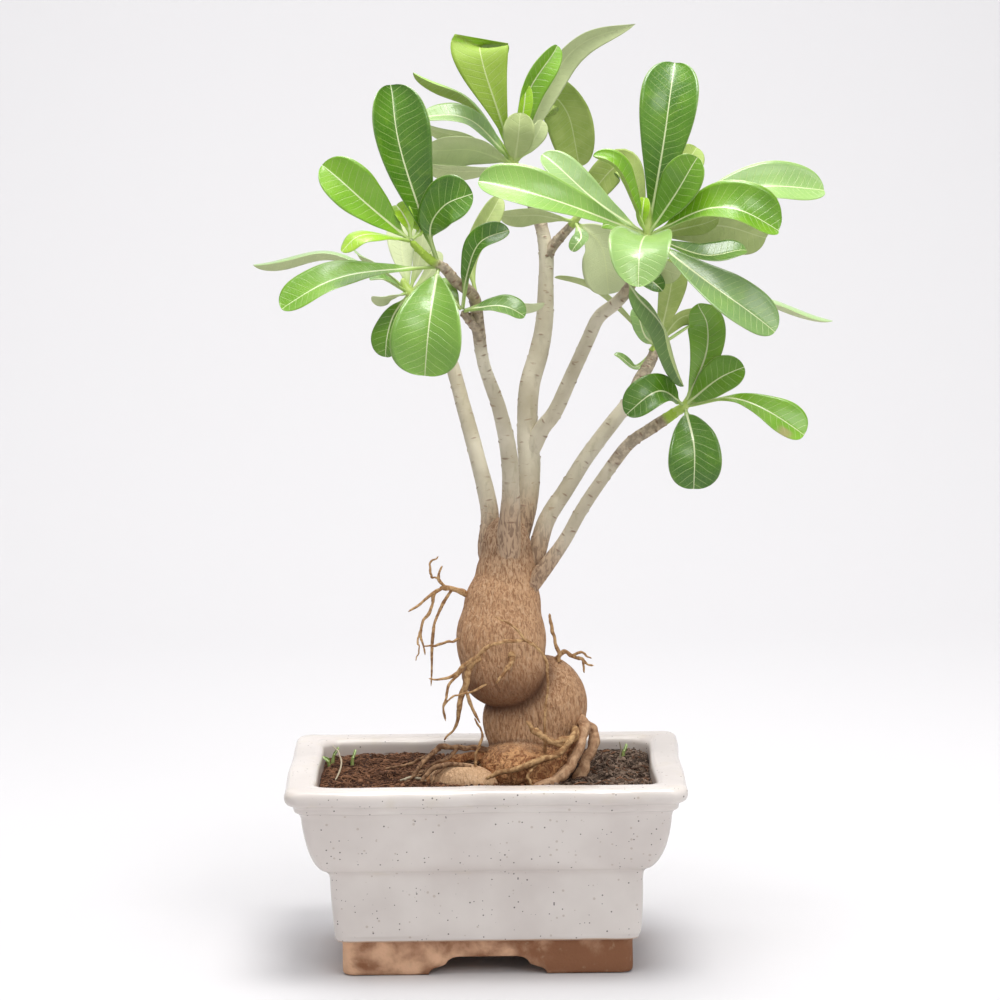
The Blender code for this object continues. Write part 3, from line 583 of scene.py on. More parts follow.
def caudex_finish(name, base_height, dull, bright, depth):
    """Tan skin: close dark wrinkles drawn lengthwise, cross cracks and freckles to a depth from
    0 to 1, painted shade in the folds and under the overhanging bulb, grey-brown at the neck,
    orange-brown scales below the base."""
    made, tree, shader, where = new_finish(name, 0.7, 0.3)
    height = split(tree, where)[2]
    painted_crease_shade, painted_overhang_shade, neck = split(tree, wire(tree, "ShaderNodeAttribute", {},
                                              attribute_name="folds").outputs[1])
    patches = noise(tree, where, 28.0, 4.0)
    lines = noise(tree, stretched(tree, where, (1.0, 1.0, 0.26)), 860.0, 4.0, 1.0)
    pebbles = noise(tree, stretched(tree, where, (1.0, 1.0, 0.6)), 900.0, 3.0, 0.8)
    cracks = noise(tree, stretched(tree, where, (0.5, 0.5, 1.3)), 760.0, 4.0, 1.6)
    colour = tint(tree, fade(tree, patches, 0.3, 0.7), dull, bright)
    colour = tint(tree, fade(tree, lines, 0.47, 0.64, 0.0, 0.78 * depth), colour, (0.28, 0.125, 0.056))
    colour = tint(tree, fade(tree, pebbles, 0.5, 0.7, 0.0, 0.35 * depth), colour, (0.30, 0.15, 0.075))
    colour = tint(tree, fade(tree, cracks, 0.58, 0.75, 0.0, 0.5 * depth), colour, (0.24, 0.115, 0.055))
    colour = tint(tree, fade(tree, lines, 0.47, 0.36, 0.0, 0.45), colour, (0.74, 0.51, 0.34))
    lower = fade(tree, maths(tree, "ADD", height,
                             maths(tree, "MULTIPLY", noise(tree, where, 70.0), 0.012)),
                 (base_height + 9) * MM, (base_height + 3) * MM)
    scales = noise(tree, where, 330.0, 6.0, 1.2)
    rust = tint(tree, fade(tree, scales, 0.4, 0.62), (0.30, 0.11, 0.038), (0.78, 0.42, 0.19))
    colour = tint(tree, maths(tree, "MULTIPLY", lower, 0.85), colour, rust)
    old = tint(tree, fade(tree, lines, 0.4, 0.62), (0.42, 0.29, 0.19), (0.20, 0.115, 0.065))
    colour = tint(tree, maths(tree, "MULTIPLY", neck, 0.75), colour, old)
    # Painted shade: dark brown under the overhanging bulb, near black in the creases.
    colour = tint(tree, maths(tree, "MULTIPLY", painted_overhang_shade, 0.78), colour, (0.17, 0.07, 0.03))
    colour = tint(tree, maths(tree, "MULTIPLY", painted_crease_shade, 0.82), colour, (0.085, 0.033, 0.016))
    tree.links.new(colour, shader.inputs["Base Color"])
    bumps = maths(tree, "ADD", maths(tree, "MULTIPLY", lines, -1.3),
                  maths(tree, "MULTIPLY", scales, maths(tree, "MULTIPLY", lower, 1.4)))
    bumps = maths(tree, "SUBTRACT", bumps, maths(tree, "MULTIPLY", pebbles, 0.55))
    raise_surface(tree, shader, maths(tree, "SUBTRACT", bumps,
                                      maths(tree, "MULTIPLY", cracks, 0.6)), depth)
    return made


caudex_skin = caudex_finish("wrinkled_tan_skin", 115.5, (0.53, 0.295, 0.152), (0.64, 0.39, 0.22),
                            0.92)
caudex_rings, folds = caudex_surface()
points, faces = skin(caudex_rings)
folds = folds.reshape(-1, 3)
add_piece("folded_caudex", place(lean(points)), faces, caudex_skin, "caudex_skin", "caudex",
          folds=np.vstack([folds, folds[0], folds[-1]]))

# A tuber at the left of the base, grown from it and half sunk in the soil.
TUBER_MIDDLE, TUBER_RADII, TUBER_TURN = (-11.6, -19.0, 96.8), (18.0, 9.0, 9.8), -0.1


def tuber_surface(rows=70, columns=110):
    """A long ellipsoid on its side, with ridges along it."""
    polar = np.linspace(0.02, np.pi - 0.02, rows)[:, None]
    angle = np.linspace(0, 2 * np.pi, columns, endpoint=False)[None]
    ridges = value_noise(angle * 9, polar * 6, 2.2, 41) * 0.2 + value_noise(angle * 3, polar * 4, 3,
                                                                            42) * 0.3
    ridges = ridges * np.minimum(angle, 2 * np.pi - angle).clip(0, 0.4) / 0.4
    plump = np.sin(polar) ** 0.9 + ridges / 9
    x = -TUBER_RADII[0] * np.cos(polar) + 0 * angle
    y, z = TUBER_RADII[1] * plump * np.cos(angle), TUBER_RADII[2] * plump * np.sin(angle)
    turn_cos, turn_sin = np.cos(TUBER_TURN), np.sin(TUBER_TURN)
    return np.stack([x * turn_cos - y * turn_sin, x * turn_sin + y * turn_cos,
                     z - 0.08 * x], axis=-1) + TUBER_MIDDLE


tuber_skin = caudex_finish("pale_tuber_skin", 60.0, (0.62, 0.38, 0.205), (0.72, 0.47, 0.275), 0.5)
points, faces = skin(tuber_surface())
add_piece("side_tuber", place(lean(points)), faces, tuber_skin, "caudex_skin")


# ---- Roots ----------------------------------------------------------------------------------
# Roots that once ran through the soil, left hanging and dried when the plant was lifted. They
# are tough, pale brown and crooked, and taper to broken ends.

THICK_ROOTS = {
    "flange_root_front": ((50, -4, 129, 2.6), (52, -9, 125, 3.4), (50, -15, 117, 2.7),
                          (46, -20, 108, 2.5), (40, -23, 101, 2.6), (31, -25, 96, 2.8),
                          (22, -26, 92, 2.8)),
    "flange_root_back": ((49, -2, 127, 3.0), (56, -2, 122, 2.8), (57, -5, 115, 2.5),
                         (53, -8, 106, 2.5), (47, -11, 92, 3.0)),
    "base_root_left": ((8, -8, 108, 2.6), (-2, -9, 109, 2.4), (-12, -10, 108, 2.2),
                       (-20, -12, 106, 2.2), (-27, -15, 101, 1.9), (-32, -17, 96, 1.6)),
}
ROOTS = {
    "root_aerial_left": (
        ((-6, -2, 193, 1.9), (-12, -4, 195, 1.6), (-21, -6, 198, 1.3), (-27, -8, 196, 1.0),
         (-41, -12, 186, 0.5)),
        ((-21, -6, 198, 1.0), (-25, -7, 203, 0.8), (-23, -8, 210, 0.5)),
        ((-25, -7, 203, 0.7), (-29, -8, 205, 0.6), (-29, -8, 211, 0.6), (-25, -8, 215, 0.35)),
        ((-27, -8, 196, 1.0), (-29, -9, 188, 0.8), (-34, -11, 177, 0.8), (-32, -12, 163, 0.4)),
        ((-18, -5, 197, 0.9), (-24, -6, 187, 0.8), (-28, -8, 174, 0.8), (-29, -9, 146, 0.4)),
        ((-34, -11, 177, 0.5), (-36, -11, 171, 0.45), (-35, -12, 166, 0.4), (-37, -12, 160, 0.3)),
        ((-12, -12, 172, 0.8), (-20, -13, 170, 0.7), (-27, -12, 168, 0.6), (-33, -12, 168, 0.35)),
    ),
    "root_arch": (
        ((31, -15, 109, 1.0), (31, -21, 113, 0.9), (31, -22.5, 128, 0.8), (32, -23, 146, 0.8),
         (32, -26, 160, 0.8), (28, -28, 168, 0.8), (21, -30, 173, 0.85), (10, -31, 173, 0.9),
         (1, -30, 170, 1.0), (-8, -27, 162, 1.1), (-19, -24, 153, 0.8), (-30, -21, 152, 0.4)),
        ((21, -30, 173, 0.7), (15, -30.5, 180, 0.6), (4, -28, 186, 0.35)),
        ((-12, -26, 158, 0.9), (-19, -25, 149, 0.7), (-22, -25, 138, 0.6), (-21, -25, 130, 0.3)),
    ),
    "root_hanging": (
        ((0, -14, 163, 2.0), (-6, -23, 162, 2.0), (-9, -25, 157, 1.9), (-11, -24, 148, 1.8),
         (-14, -22, 137, 1.5), (-16, -20, 127, 0.8), (-22, -20, 119, 0.35)),
        ((-11, -24, 148, 1.0), (-7, -25, 137, 0.9), (-3, -25, 129, 0.45)),
    ),
    "root_right_spray": (
        ((36, 0, 156, 1.5), (41, -1, 163, 1.2), (46, -2, 161, 1.0), (51, -2, 159, 0.8),
         (52, -2, 152, 0.4)),
        ((46, -2, 161, 0.9), (50, -3, 163, 0.7), (56, -3, 160, 0.4)),
        ((49, -2, 160, 0.7), (54, -2, 157, 0.6), (57, -2, 156, 0.35)),
    ),
    "root_front_sweep": (
        ((47, -12, 124, 1.8), (46, -20, 121, 1.7), (38, -25, 113, 1.7), (27, -27.5, 109, 1.6),
         (16, -28, 105, 1.5), (6, -28.5, 103, 1.3), (0, -29, 100, 0.9)),
        ((46, -18, 120, 1.7), (37, -24, 119, 1.7), (28, -25, 123, 1.5), (21, -25, 130, 1.1)),
        ((27, -27, 108, 0.8), (22, -29, 101, 0.8), (25, -29, 96, 0.6)),
    ),
    "root_surface_left": (
        ((6, -9, 110, 1.8), (-3, -11, 113, 1.6), (-15, -14, 114, 1.5), (-24, -17, 115, 1.4),
         (-30, -19, 110, 1.3), (-36, -22, 104, 1.1), (-40, -24, 99, 0.7)),
        ((-15, -14, 114, 1.2), (-20, -17, 108.5, 1.0), (-27, -19, 106.5, 1.0), (-34, -19, 100, 0.6)),
        ((-24, -17, 114, 1.0), (-33, -10, 108, 0.9), (-42, -6, 104, 0.8), (-54, -4, 101, 0.5)),
        ((-8, -22, 105, 1.3), (-20, -24, 107, 1.4), (-29, -25, 104, 1.2), (-34, -27, 98, 0.9)),
        ((-22, -24, 106, 0.9), (-27, -27, 101, 0.8), (-28, -28, 96, 0.7)),
    ),
}
LOOSE_ROOTS = {
    "spike_root_right": ((39, -3, 158, 1.2), (38, -3, 165, 1.0), (35.5, -3, 174, 0.85),
                         (33.5, -3, 184, 0.7)),
    "stub_root": ((12, -20, 167, 2.5), (14, -26.5, 164, 1.9), (12, -29.5, 160, 1.3),
                  (8.5, -31, 155, 0.9), (5, -31, 151, 0.6)),
    "thick_stub": ((50, -9, 123, 2.0), (45, -17, 118, 1.9), (38, -23, 117.5, 1.8),
                   (31, -25, 121, 1.7), (25, -24.5, 126, 1.3)),
    "curled_thread": ((2, -23, 150, 0.6), (-8, -28, 146, 0.55), (-17, -28, 144, 0.5),
                      (-22, -26, 138, 0.45), (-21, -25, 131, 0.3)),
    "dark_twig": ((-6, -22, 100, 0.8), (-5, -21, 112, 0.7), (-2, -20, 122, 0.7),
                  (-6, -20, 131, 0.4)),
}


def frame_along(centres):
    """The direction at each point of a path, and two directions square to it that turn as
    little as they can: each is the last one less its part along the path."""
    along = np.gradient(centres, axis=0)
    along /= np.linalg.norm(along, axis=1)[:, None]
    across = np.empty_like(along)
    carried = np.cross(along[0], (0.3, 1.0, 0.2))
    for i, direction in enumerate(along):
        carried = carried - direction * (carried @ direction)
        carried = carried / np.linalg.norm(carried)
        across[i] = carried
    return along, across, np.cross(along, across)


def tube_rings(chain, sides, per_span, relief=None):
    """A profile carried along a smooth path: a circle of the path's radius, to which relief
    (a function of angle, length along in millimetres and share along) is added."""
    path = smooth_path(chain, per_span)
    centres, radii = path[:, :3], np.maximum(path[:, 3], 0.2)
    along, across, upright = frame_along(centres)
    travelled = np.concatenate([[0], np.cumsum(np.linalg.norm(np.diff(centres, axis=0), axis=1))])
    angle = np.linspace(0, 2 * np.pi, sides, endpoint=False)[None]
    share = (travelled / travelled[-1])[:, None]
    reach = radii[:, None] + (0 if relief is None else relief(angle, travelled[:, None], share))
    ease = np.minimum(1, np.sqrt(np.maximum(travelled[-1] - travelled, 0) / radii[-1] + 0.05))
    reach = reach * ease[:, None]
    rings = centres[:, None] + reach[..., None] * (np.cos(angle)[..., None] * across[:, None]
                                                   + np.sin(angle)[..., None] * upright[:, None])
    where = np.stack([angle * radii.mean() + 0 * share, travelled[:, None] + 0 * angle,
                      share + 0 * angle], axis=-1)
    return rings, where


def crooked(chain, seed, amount):
    """The chain with a point added half way along each span, and moved a little at random."""
    random = np.random.default_rng(seed)
    path = smooth_path(chain, 3)
    path[1:-1, :3] += random.normal(0, amount, (len(path) - 2, 3))
    path[1:-1, 3] *= random.uniform(0.85, 1.2, len(path) - 2)
    return path


def root_finish(name, dark, light):
    made, tree, shader, where = new_finish(name, 0.8, 0.25)
    streak = noise(tree, where, 330.0, 5.0, 0.8)
    spots = noise(tree, where, 900.0, 3.0)
    colour = tint(tree, fade(tree, streak, 0.35, 0.68), dark, light)
    colour = tint(tree, fade(tree, spots, 0.6, 0.75, 0.0, 0.5), colour, (0.10, 0.05, 0.025))
    tree.links.new(colour, shader.inputs["Base Color"])
    raise_surface(tree, shader, streak, 0.4)
    return made


root_skin = root_finish("dry_root_skin", (0.26, 0.13, 0.055), (0.58, 0.37, 0.18))
soiled_root = root_finish("soiled_root_skin", (0.13, 0.065, 0.034), (0.40, 0.24, 0.13))
pale_root = root_finish("pale_flange_skin", (0.36, 0.20, 0.11), (0.58, 0.37, 0.22))


def join(parts):
    """One list of points and faces from several."""
    points, faces, shift = [], [], 0
    for some_points, some_faces in parts:
        points.append(some_points)
        faces += [[corner + shift for corner in face] for face in some_faces]
        shift += len(some_points)
    return np.vstack(points), faces


def knobbly(angle, along, share):
    """Rings and knots on a root: a noise that runs round it and along it."""
    return 0.14 * value_noise(np.cos(angle) * 2 + along * 0.9, np.sin(angle) * 2, 1.3, 51)


def ridged(angle, along, share):
    """Long ridges on a thick root, deeper than a thin root's."""
    return (0.5 * value_noise(np.cos(angle) * 3, np.sin(angle) * 3 + along * 0.14, 1.6, 52)
            + 0.2 * value_noise(np.cos(angle) * 6, np.sin(angle) * 6 + along * 0.5, 1.6, 53))


for name, chain in THICK_ROOTS.items():
    rings, _ = tube_rings(crooked(chain, 60, 0.25), 22, 6, ridged)
    points, faces = skin(rings)
    add_piece(name, place(lean(points)), faces,
              pale_root if name.startswith("flange") else caudex_skin, "caudex_skin")
for number, (name, chains) in enumerate(ROOTS.items()):
    parts = [skin(tube_rings(crooked(chain, 70 + 10 * number + i, 0.28), 9, 4, knobbly)[0])
             for i, chain in enumerate(chains)]
    points, faces = join(parts)
    add_piece(name + "_strands", place(lean(points)), faces,
              soiled_root if name.endswith("surface_left") else root_skin, "root_skin", name)
for number, (name, chain) in enumerate(LOOSE_ROOTS.items()):
    points, faces = skin(tube_rings(crooked(chain, 140 + number, 0.22), 9, 4, knobbly)[0])
    add_piece(name, place(lean(points)), faces, root_skin, "root_skin")

# Fine rootlets that cover the soil at the left of the base.
ROOTLETS = 26


def rootlet_chain(random):
    """A thin root that leaves the base, runs out to the left over the soil and sinks in."""
    start = np.array([random.uniform(-18, 4), random.uniform(-10, 8), random.uniform(102, 110)])
    reach, heading = random.uniform(14, 34), random.normal(np.pi + 0.15, 0.5)
    s = np.linspace(0, 1, 6)[:, None]
    flat = start[:2] + s * reach * np.array([np.cos(heading), np.sin(heading)])
    flat = flat + random.normal(0, 1.3, (6, 2)) * s
    limit = POT_HALF - SOIL_INSET - 3
    flat = np.clip(flat, -limit, limit)
    fall = start[2] + (soil_height(flat[:, :1], flat[:, 1:]) - 0.3 - start[2]) * np.sqrt(s)
    thick = random.uniform(0.3, 0.85) * (1 - 0.6 * s)
    return np.hstack([flat, fall, thick])


random_rootlets = np.random.default_rng(90)
parts = [skin(tube_rings(crooked(rootlet_chain(random_rootlets), 200 + i, 0.4), 6, 3, knobbly)[0])
         for i in range(ROOTLETS)]
points, faces = join(parts)
add_piece("surface_rootlets", place(points), faces, soiled_root, "root_skin")


# ---- Stems ----------------------------------------------------------------------------------
# Slender woody stems that spring from the caudex's neck, pale grey-green and smooth, with a
# brown scar wherever a leaf fell. The scars crowd together near the tips, where growth was slow.

STEMS = {
    "stem_left": (
        (6, 2, 203, 5.5), (1, 3, 217, 5.2), (2, 8, 237, 4.7), (-5, 18, 266, 4.2),
        (-13, 27, 295, 3.9), (-20, 33, 318, 3.6), (-32, 39, 339, 3.3), (-41, 42, 351, 3.0)),
    "stem_front": (
        (11, 0, 196, 6), (12, -4, 210, 7.2), (12, -8, 222, 6.7), (13, -14, 246, 4.8),
        (12, -20, 270, 4.4), (7, -26, 294, 3.8), (-1, -32, 318, 3.2), (-4, -38, 338, 3.3),
        (-6, -42, 353, 3.1), (-15, -46, 361, 2.9), (-21, -50, 368, 2.6), (-29, -54, 373, 2.2),
        (-38, -58, 382, 1.7)),
    "stem_back": (
        (13, 7, 200, 7.5), (15, 9, 217, 6.9), (21, 13, 240, 6.3), (23, 16, 261, 6.0),
        (22, 18, 278, 5.5), (23, 20, 302, 5.5), (28, 22, 320, 5.2), (31, 23, 337, 4.6),
        (32, 25, 361, 4.0), (32, 26, 373, 4.0), (30, 27, 385, 3.4), (25, 28, 398, 3.0),
        (15, 30, 420, 2.4)),
    "stem_middle": (
        (22, 17, 262, 3.4), (26, 14.5, 272, 4.3), (30, 11, 281, 4.2), (37, 6, 291, 3.9),
        (46, 0, 312, 3.7),
        (53, -6, 328, 3.6), (59, -12, 341, 3.5), (68, -18, 349, 3.3), (75, -22, 358, 2.9),
        (80, -31, 371, 2.3), (83, -38, 384, 1.8)),
    "stem_right": (
        (20, 2, 197, 5.4), (26, 3, 212, 5), (32, 6, 232, 4.5), (42, 9, 248, 4.3),
        (53, 13, 265, 4.1), (66, 17, 282, 4.0), (77, 21, 296, 3.6), (82, 24, 306, 3.4),
        (87, 27, 314, 3.1), (91, 30, 323, 2.5)),
    "stem_low_right": (
        (15, -2, 186, 4.0), (20, -4, 194, 4.4), (29, -7, 206, 4.2), (41, -10, 223, 3.4),
        (50, -14, 240, 3.4),
        (61, -18, 257, 3.3), (74, -22, 275, 3.2), (86, -26, 284, 3.1), (96, -28, 291, 2.7),
        (103, -30, 296, 2.0)),
    "twig_front": ((-3, -35, 335, 2.9), (-8, -43, 341, 2.4), (-12, -47, 346, 1.8)),
    "twig_back": ((31, 26, 366, 2.6), (34, 24, 374, 2.8), (38, 21, 380, 2.6), (47, 14, 390, 1.9)),
}
GREEN_FROM = {"stem_front": 0.9, "stem_middle": 0.93, "stem_low_right": 0.9}
SCALY_LENGTH = {"stem_front": 78.0, "stem_middle": 46.0, "stem_low_right": 56.0,
                "stem_right": 40.0, "stem_back": 44.0, "stem_left": 30.0, "twig_front": 40.0,
                "twig_back": 40.0}
FOOT_LENGTH = {"stem_front": 52.0, "stem_left": 34.0, "stem_back": 44.0, "stem_right": 32.0,
               "stem_low_right": 42.0}   # how far up a stem the caudex's brown skin runs


def leaf_scars(name, length):
    """Where the scars are: one every five millimetres or so, and every two near the tip, each
    a golden angle round from the last."""
    scaly = SCALY_LENGTH[name]
    low = np.arange(14.0, max(length - scaly, 14.0), 4.4)
    high = np.arange(max(length - scaly, 0.0), length * 0.985, 2.1)
    along = np.concatenate([low, high])
    random = np.random.default_rng(len(name) + int(length))
    turn = np.arange(len(along)) * 2.4 + random.normal(0, 0.5, len(along))
    return along + random.normal(0, 0.5, len(along)), turn % (2 * np.pi)


def stem_surface(name, chain):
    """A round stem with flutes at its foot and a low crescent at each scar: a bell in the
    distance round and along from the scar, with a dent above it."""
    length = np.linalg.norm(np.diff(smooth_path(chain, 4)[:, :3], axis=0), axis=1).sum()
    scar_at, scar_turn = leaf_scars(name, length)
    radius = chain[len(chain) // 2][3]

    def bells(angle, along, shift, high, wide):
        off = np.abs((angle[..., None] - scar_turn + np.pi) % (2 * np.pi) - np.pi) * radius
        return np.exp(-((along[..., None] - scar_at - shift) / high) ** 2 - (off / wide) ** 2)

    def relief(angle, along, share):
        knots = bells(angle, along, 0.0, 0.7, 1.5).max(axis=-1)
        dents = bells(angle, along, 1.1, 0.6, 1.1).max(axis=-1)
        flutes = 0.55 * np.sin(5 * angle + 0.5) * np.exp(-along / 30.0)
        return (0.42 * knots - 0.25 * dents + flutes
                + 0.16 * value_noise(np.cos(angle) * 4, np.sin(angle) * 4 + along * 0.15, 1.9, 61)
                + 0.08 * value_noise(np.cos(angle) * 7, np.sin(angle) * 7 + along * 1.2, 1.5, 62))

    per_span = max(4, int(length / (len(chain) - 1) / 0.62))
    rings, where = tube_rings(chain, 30, per_span, relief)
    angle = np.linspace(0, 2 * np.pi, 30, endpoint=False)[None]
    marks = bells(angle, where[:, :1, 1], 0.3, 0.6, 1.9).max(axis=-1)
    scaly = np.clip((where[..., 1] - length + SCALY_LENGTH[name]) / 12.0, 0, 1)
    tan = 1 / (1 + np.exp((where[..., 1] - FOOT_LENGTH.get(name, -40.0)) / 5.0))
    green = np.clip((where[..., 2] - GREEN_FROM.get(name, 2.0)) / 0.05, 0, 1)
    return rings, where, np.stack([marks, tan, np.where(green > 0.01, 1 + green, scaly)], axis=-1)


def bark_finish():
    """Pale bark: lengthwise streaks and lenticels in the stem's own length and girth, brown
    scars, tan at the foot, a brown crust toward the tip and a fresh green end."""
    made, tree, shader, where = new_finish("pale_stem_bark", 0.62, 0.35)
    plan = wire(tree, "ShaderNodeAttribute", {}, attribute_name="girth").outputs[1]
    marks, tan, zone = split(tree, wire(tree, "ShaderNodeAttribute", {},
                                        attribute_name="marks").outputs[1])
    crust = fade(tree, zone, 0.1, 0.9)
    green = fade(tree, zone, 1.05, 1.6)
    streak = noise(tree, stretched(tree, where, (1.0, 1.0, 0.25)), 300.0, 4.0, 0.4)
    patch = noise(tree, where, 42.0, 4.0)
    lenticel = noise(tree, stretched(tree, where, (0.45, 0.45, 1.8)), 420.0, 2.0, 0.2)
    colour = tint(tree, fade(tree, patch, 0.32, 0.68), (0.47, 0.415, 0.30), (0.66, 0.605, 0.475))
    colour = tint(tree, fade(tree, streak, 0.55, 0.75, 0.0, 0.35), colour, (0.28, 0.25, 0.15))
    colour = tint(tree, fade(tree, lenticel, 0.64, 0.72, 0.0, 0.5), colour, (0.26, 0.14, 0.08))
    brown = tint(tree, fade(tree, noise(tree, where, 380.0, 5.0), 0.38, 0.64),
                 (0.15, 0.09, 0.055), (0.46, 0.35, 0.24))
    colour = tint(tree, maths(tree, "MULTIPLY", crust, 0.62), colour, brown)
    furrows = noise(tree, stretched(tree, where, (1, 1, 0.24)), 680.0, 5.0, 0.8)
    foot = tint(tree, fade(tree, furrows, 0.44, 0.62), (0.47, 0.31, 0.195), (0.20, 0.105, 0.056))
    colour = tint(tree, maths(tree, "MULTIPLY", tan, 0.9), colour, foot)
    colour = tint(tree, maths(tree, "MULTIPLY", fade(tree, marks, 0.25, 0.85), 0.72), colour,
                  (0.17, 0.085, 0.05))
    colour = tint(tree, green, colour, (0.34, 0.50, 0.06))
    tree.links.new(colour, shader.inputs["Base Color"])
    ring = noise(tree, stretched(tree, plan, (0.05, 1.0, 1.0)), 1.4, 3.0)
    streak = maths(tree, "SUBTRACT", streak, maths(tree, "MULTIPLY", furrows,
                                                   maths(tree, "MULTIPLY", tan, 4.0)))
    height = maths(tree, "ADD", maths(tree, "MULTIPLY", streak, 0.5),
                   maths(tree, "MULTIPLY", ring, maths(tree, "ADD", crust, 0.35)))
    raise_surface(tree, shader, height, 0.45)
    return made


bark = bark_finish()
for name, chain in STEMS.items():
    rings, where, marks = stem_surface(name, chain)
    points, faces = skin(rings)
    flat_where, flat_marks = where.reshape(-1, 3), marks.reshape(-1, 3)
    add_piece(name + "_bark", place(lean(points)), faces, bark, "stem_bark", name,
              girth=np.vstack([flat_where, flat_where[0], flat_where[-1]]),
              marks=np.vstack([flat_marks, flat_marks[0], flat_marks[-1]]))


# ---- Leaves ---------------------------------------------------------------------------------
# Leathery leaves in spirals at the stems' ends: glossy green above with a cream midrib and fine
# side veins, pale and matt beneath. Each tapers to a short stalk, and its edges bend a little.

LEAF_ACROSS, LEAF_ALONG = 15, 46
BLADE_THICKNESS, STALK_RADIUS = 0.5, 1.05
# The pale number lightens a leaf: beneath, it is the underside's own paler colour; above, it is
# painted sheen.
STANDARD = {"stalk": 0.04, "taper": 1.0, "blunt": 2.6, "point": 0.5, "fold": 0.14, "roll": 0.3,
            "wave": 0.25, "tip": 3.0, "twist": 0.0, "fresh": 0.25, "pale_and_sheen": 0.0, "under": 0,
            "blotch": 0}

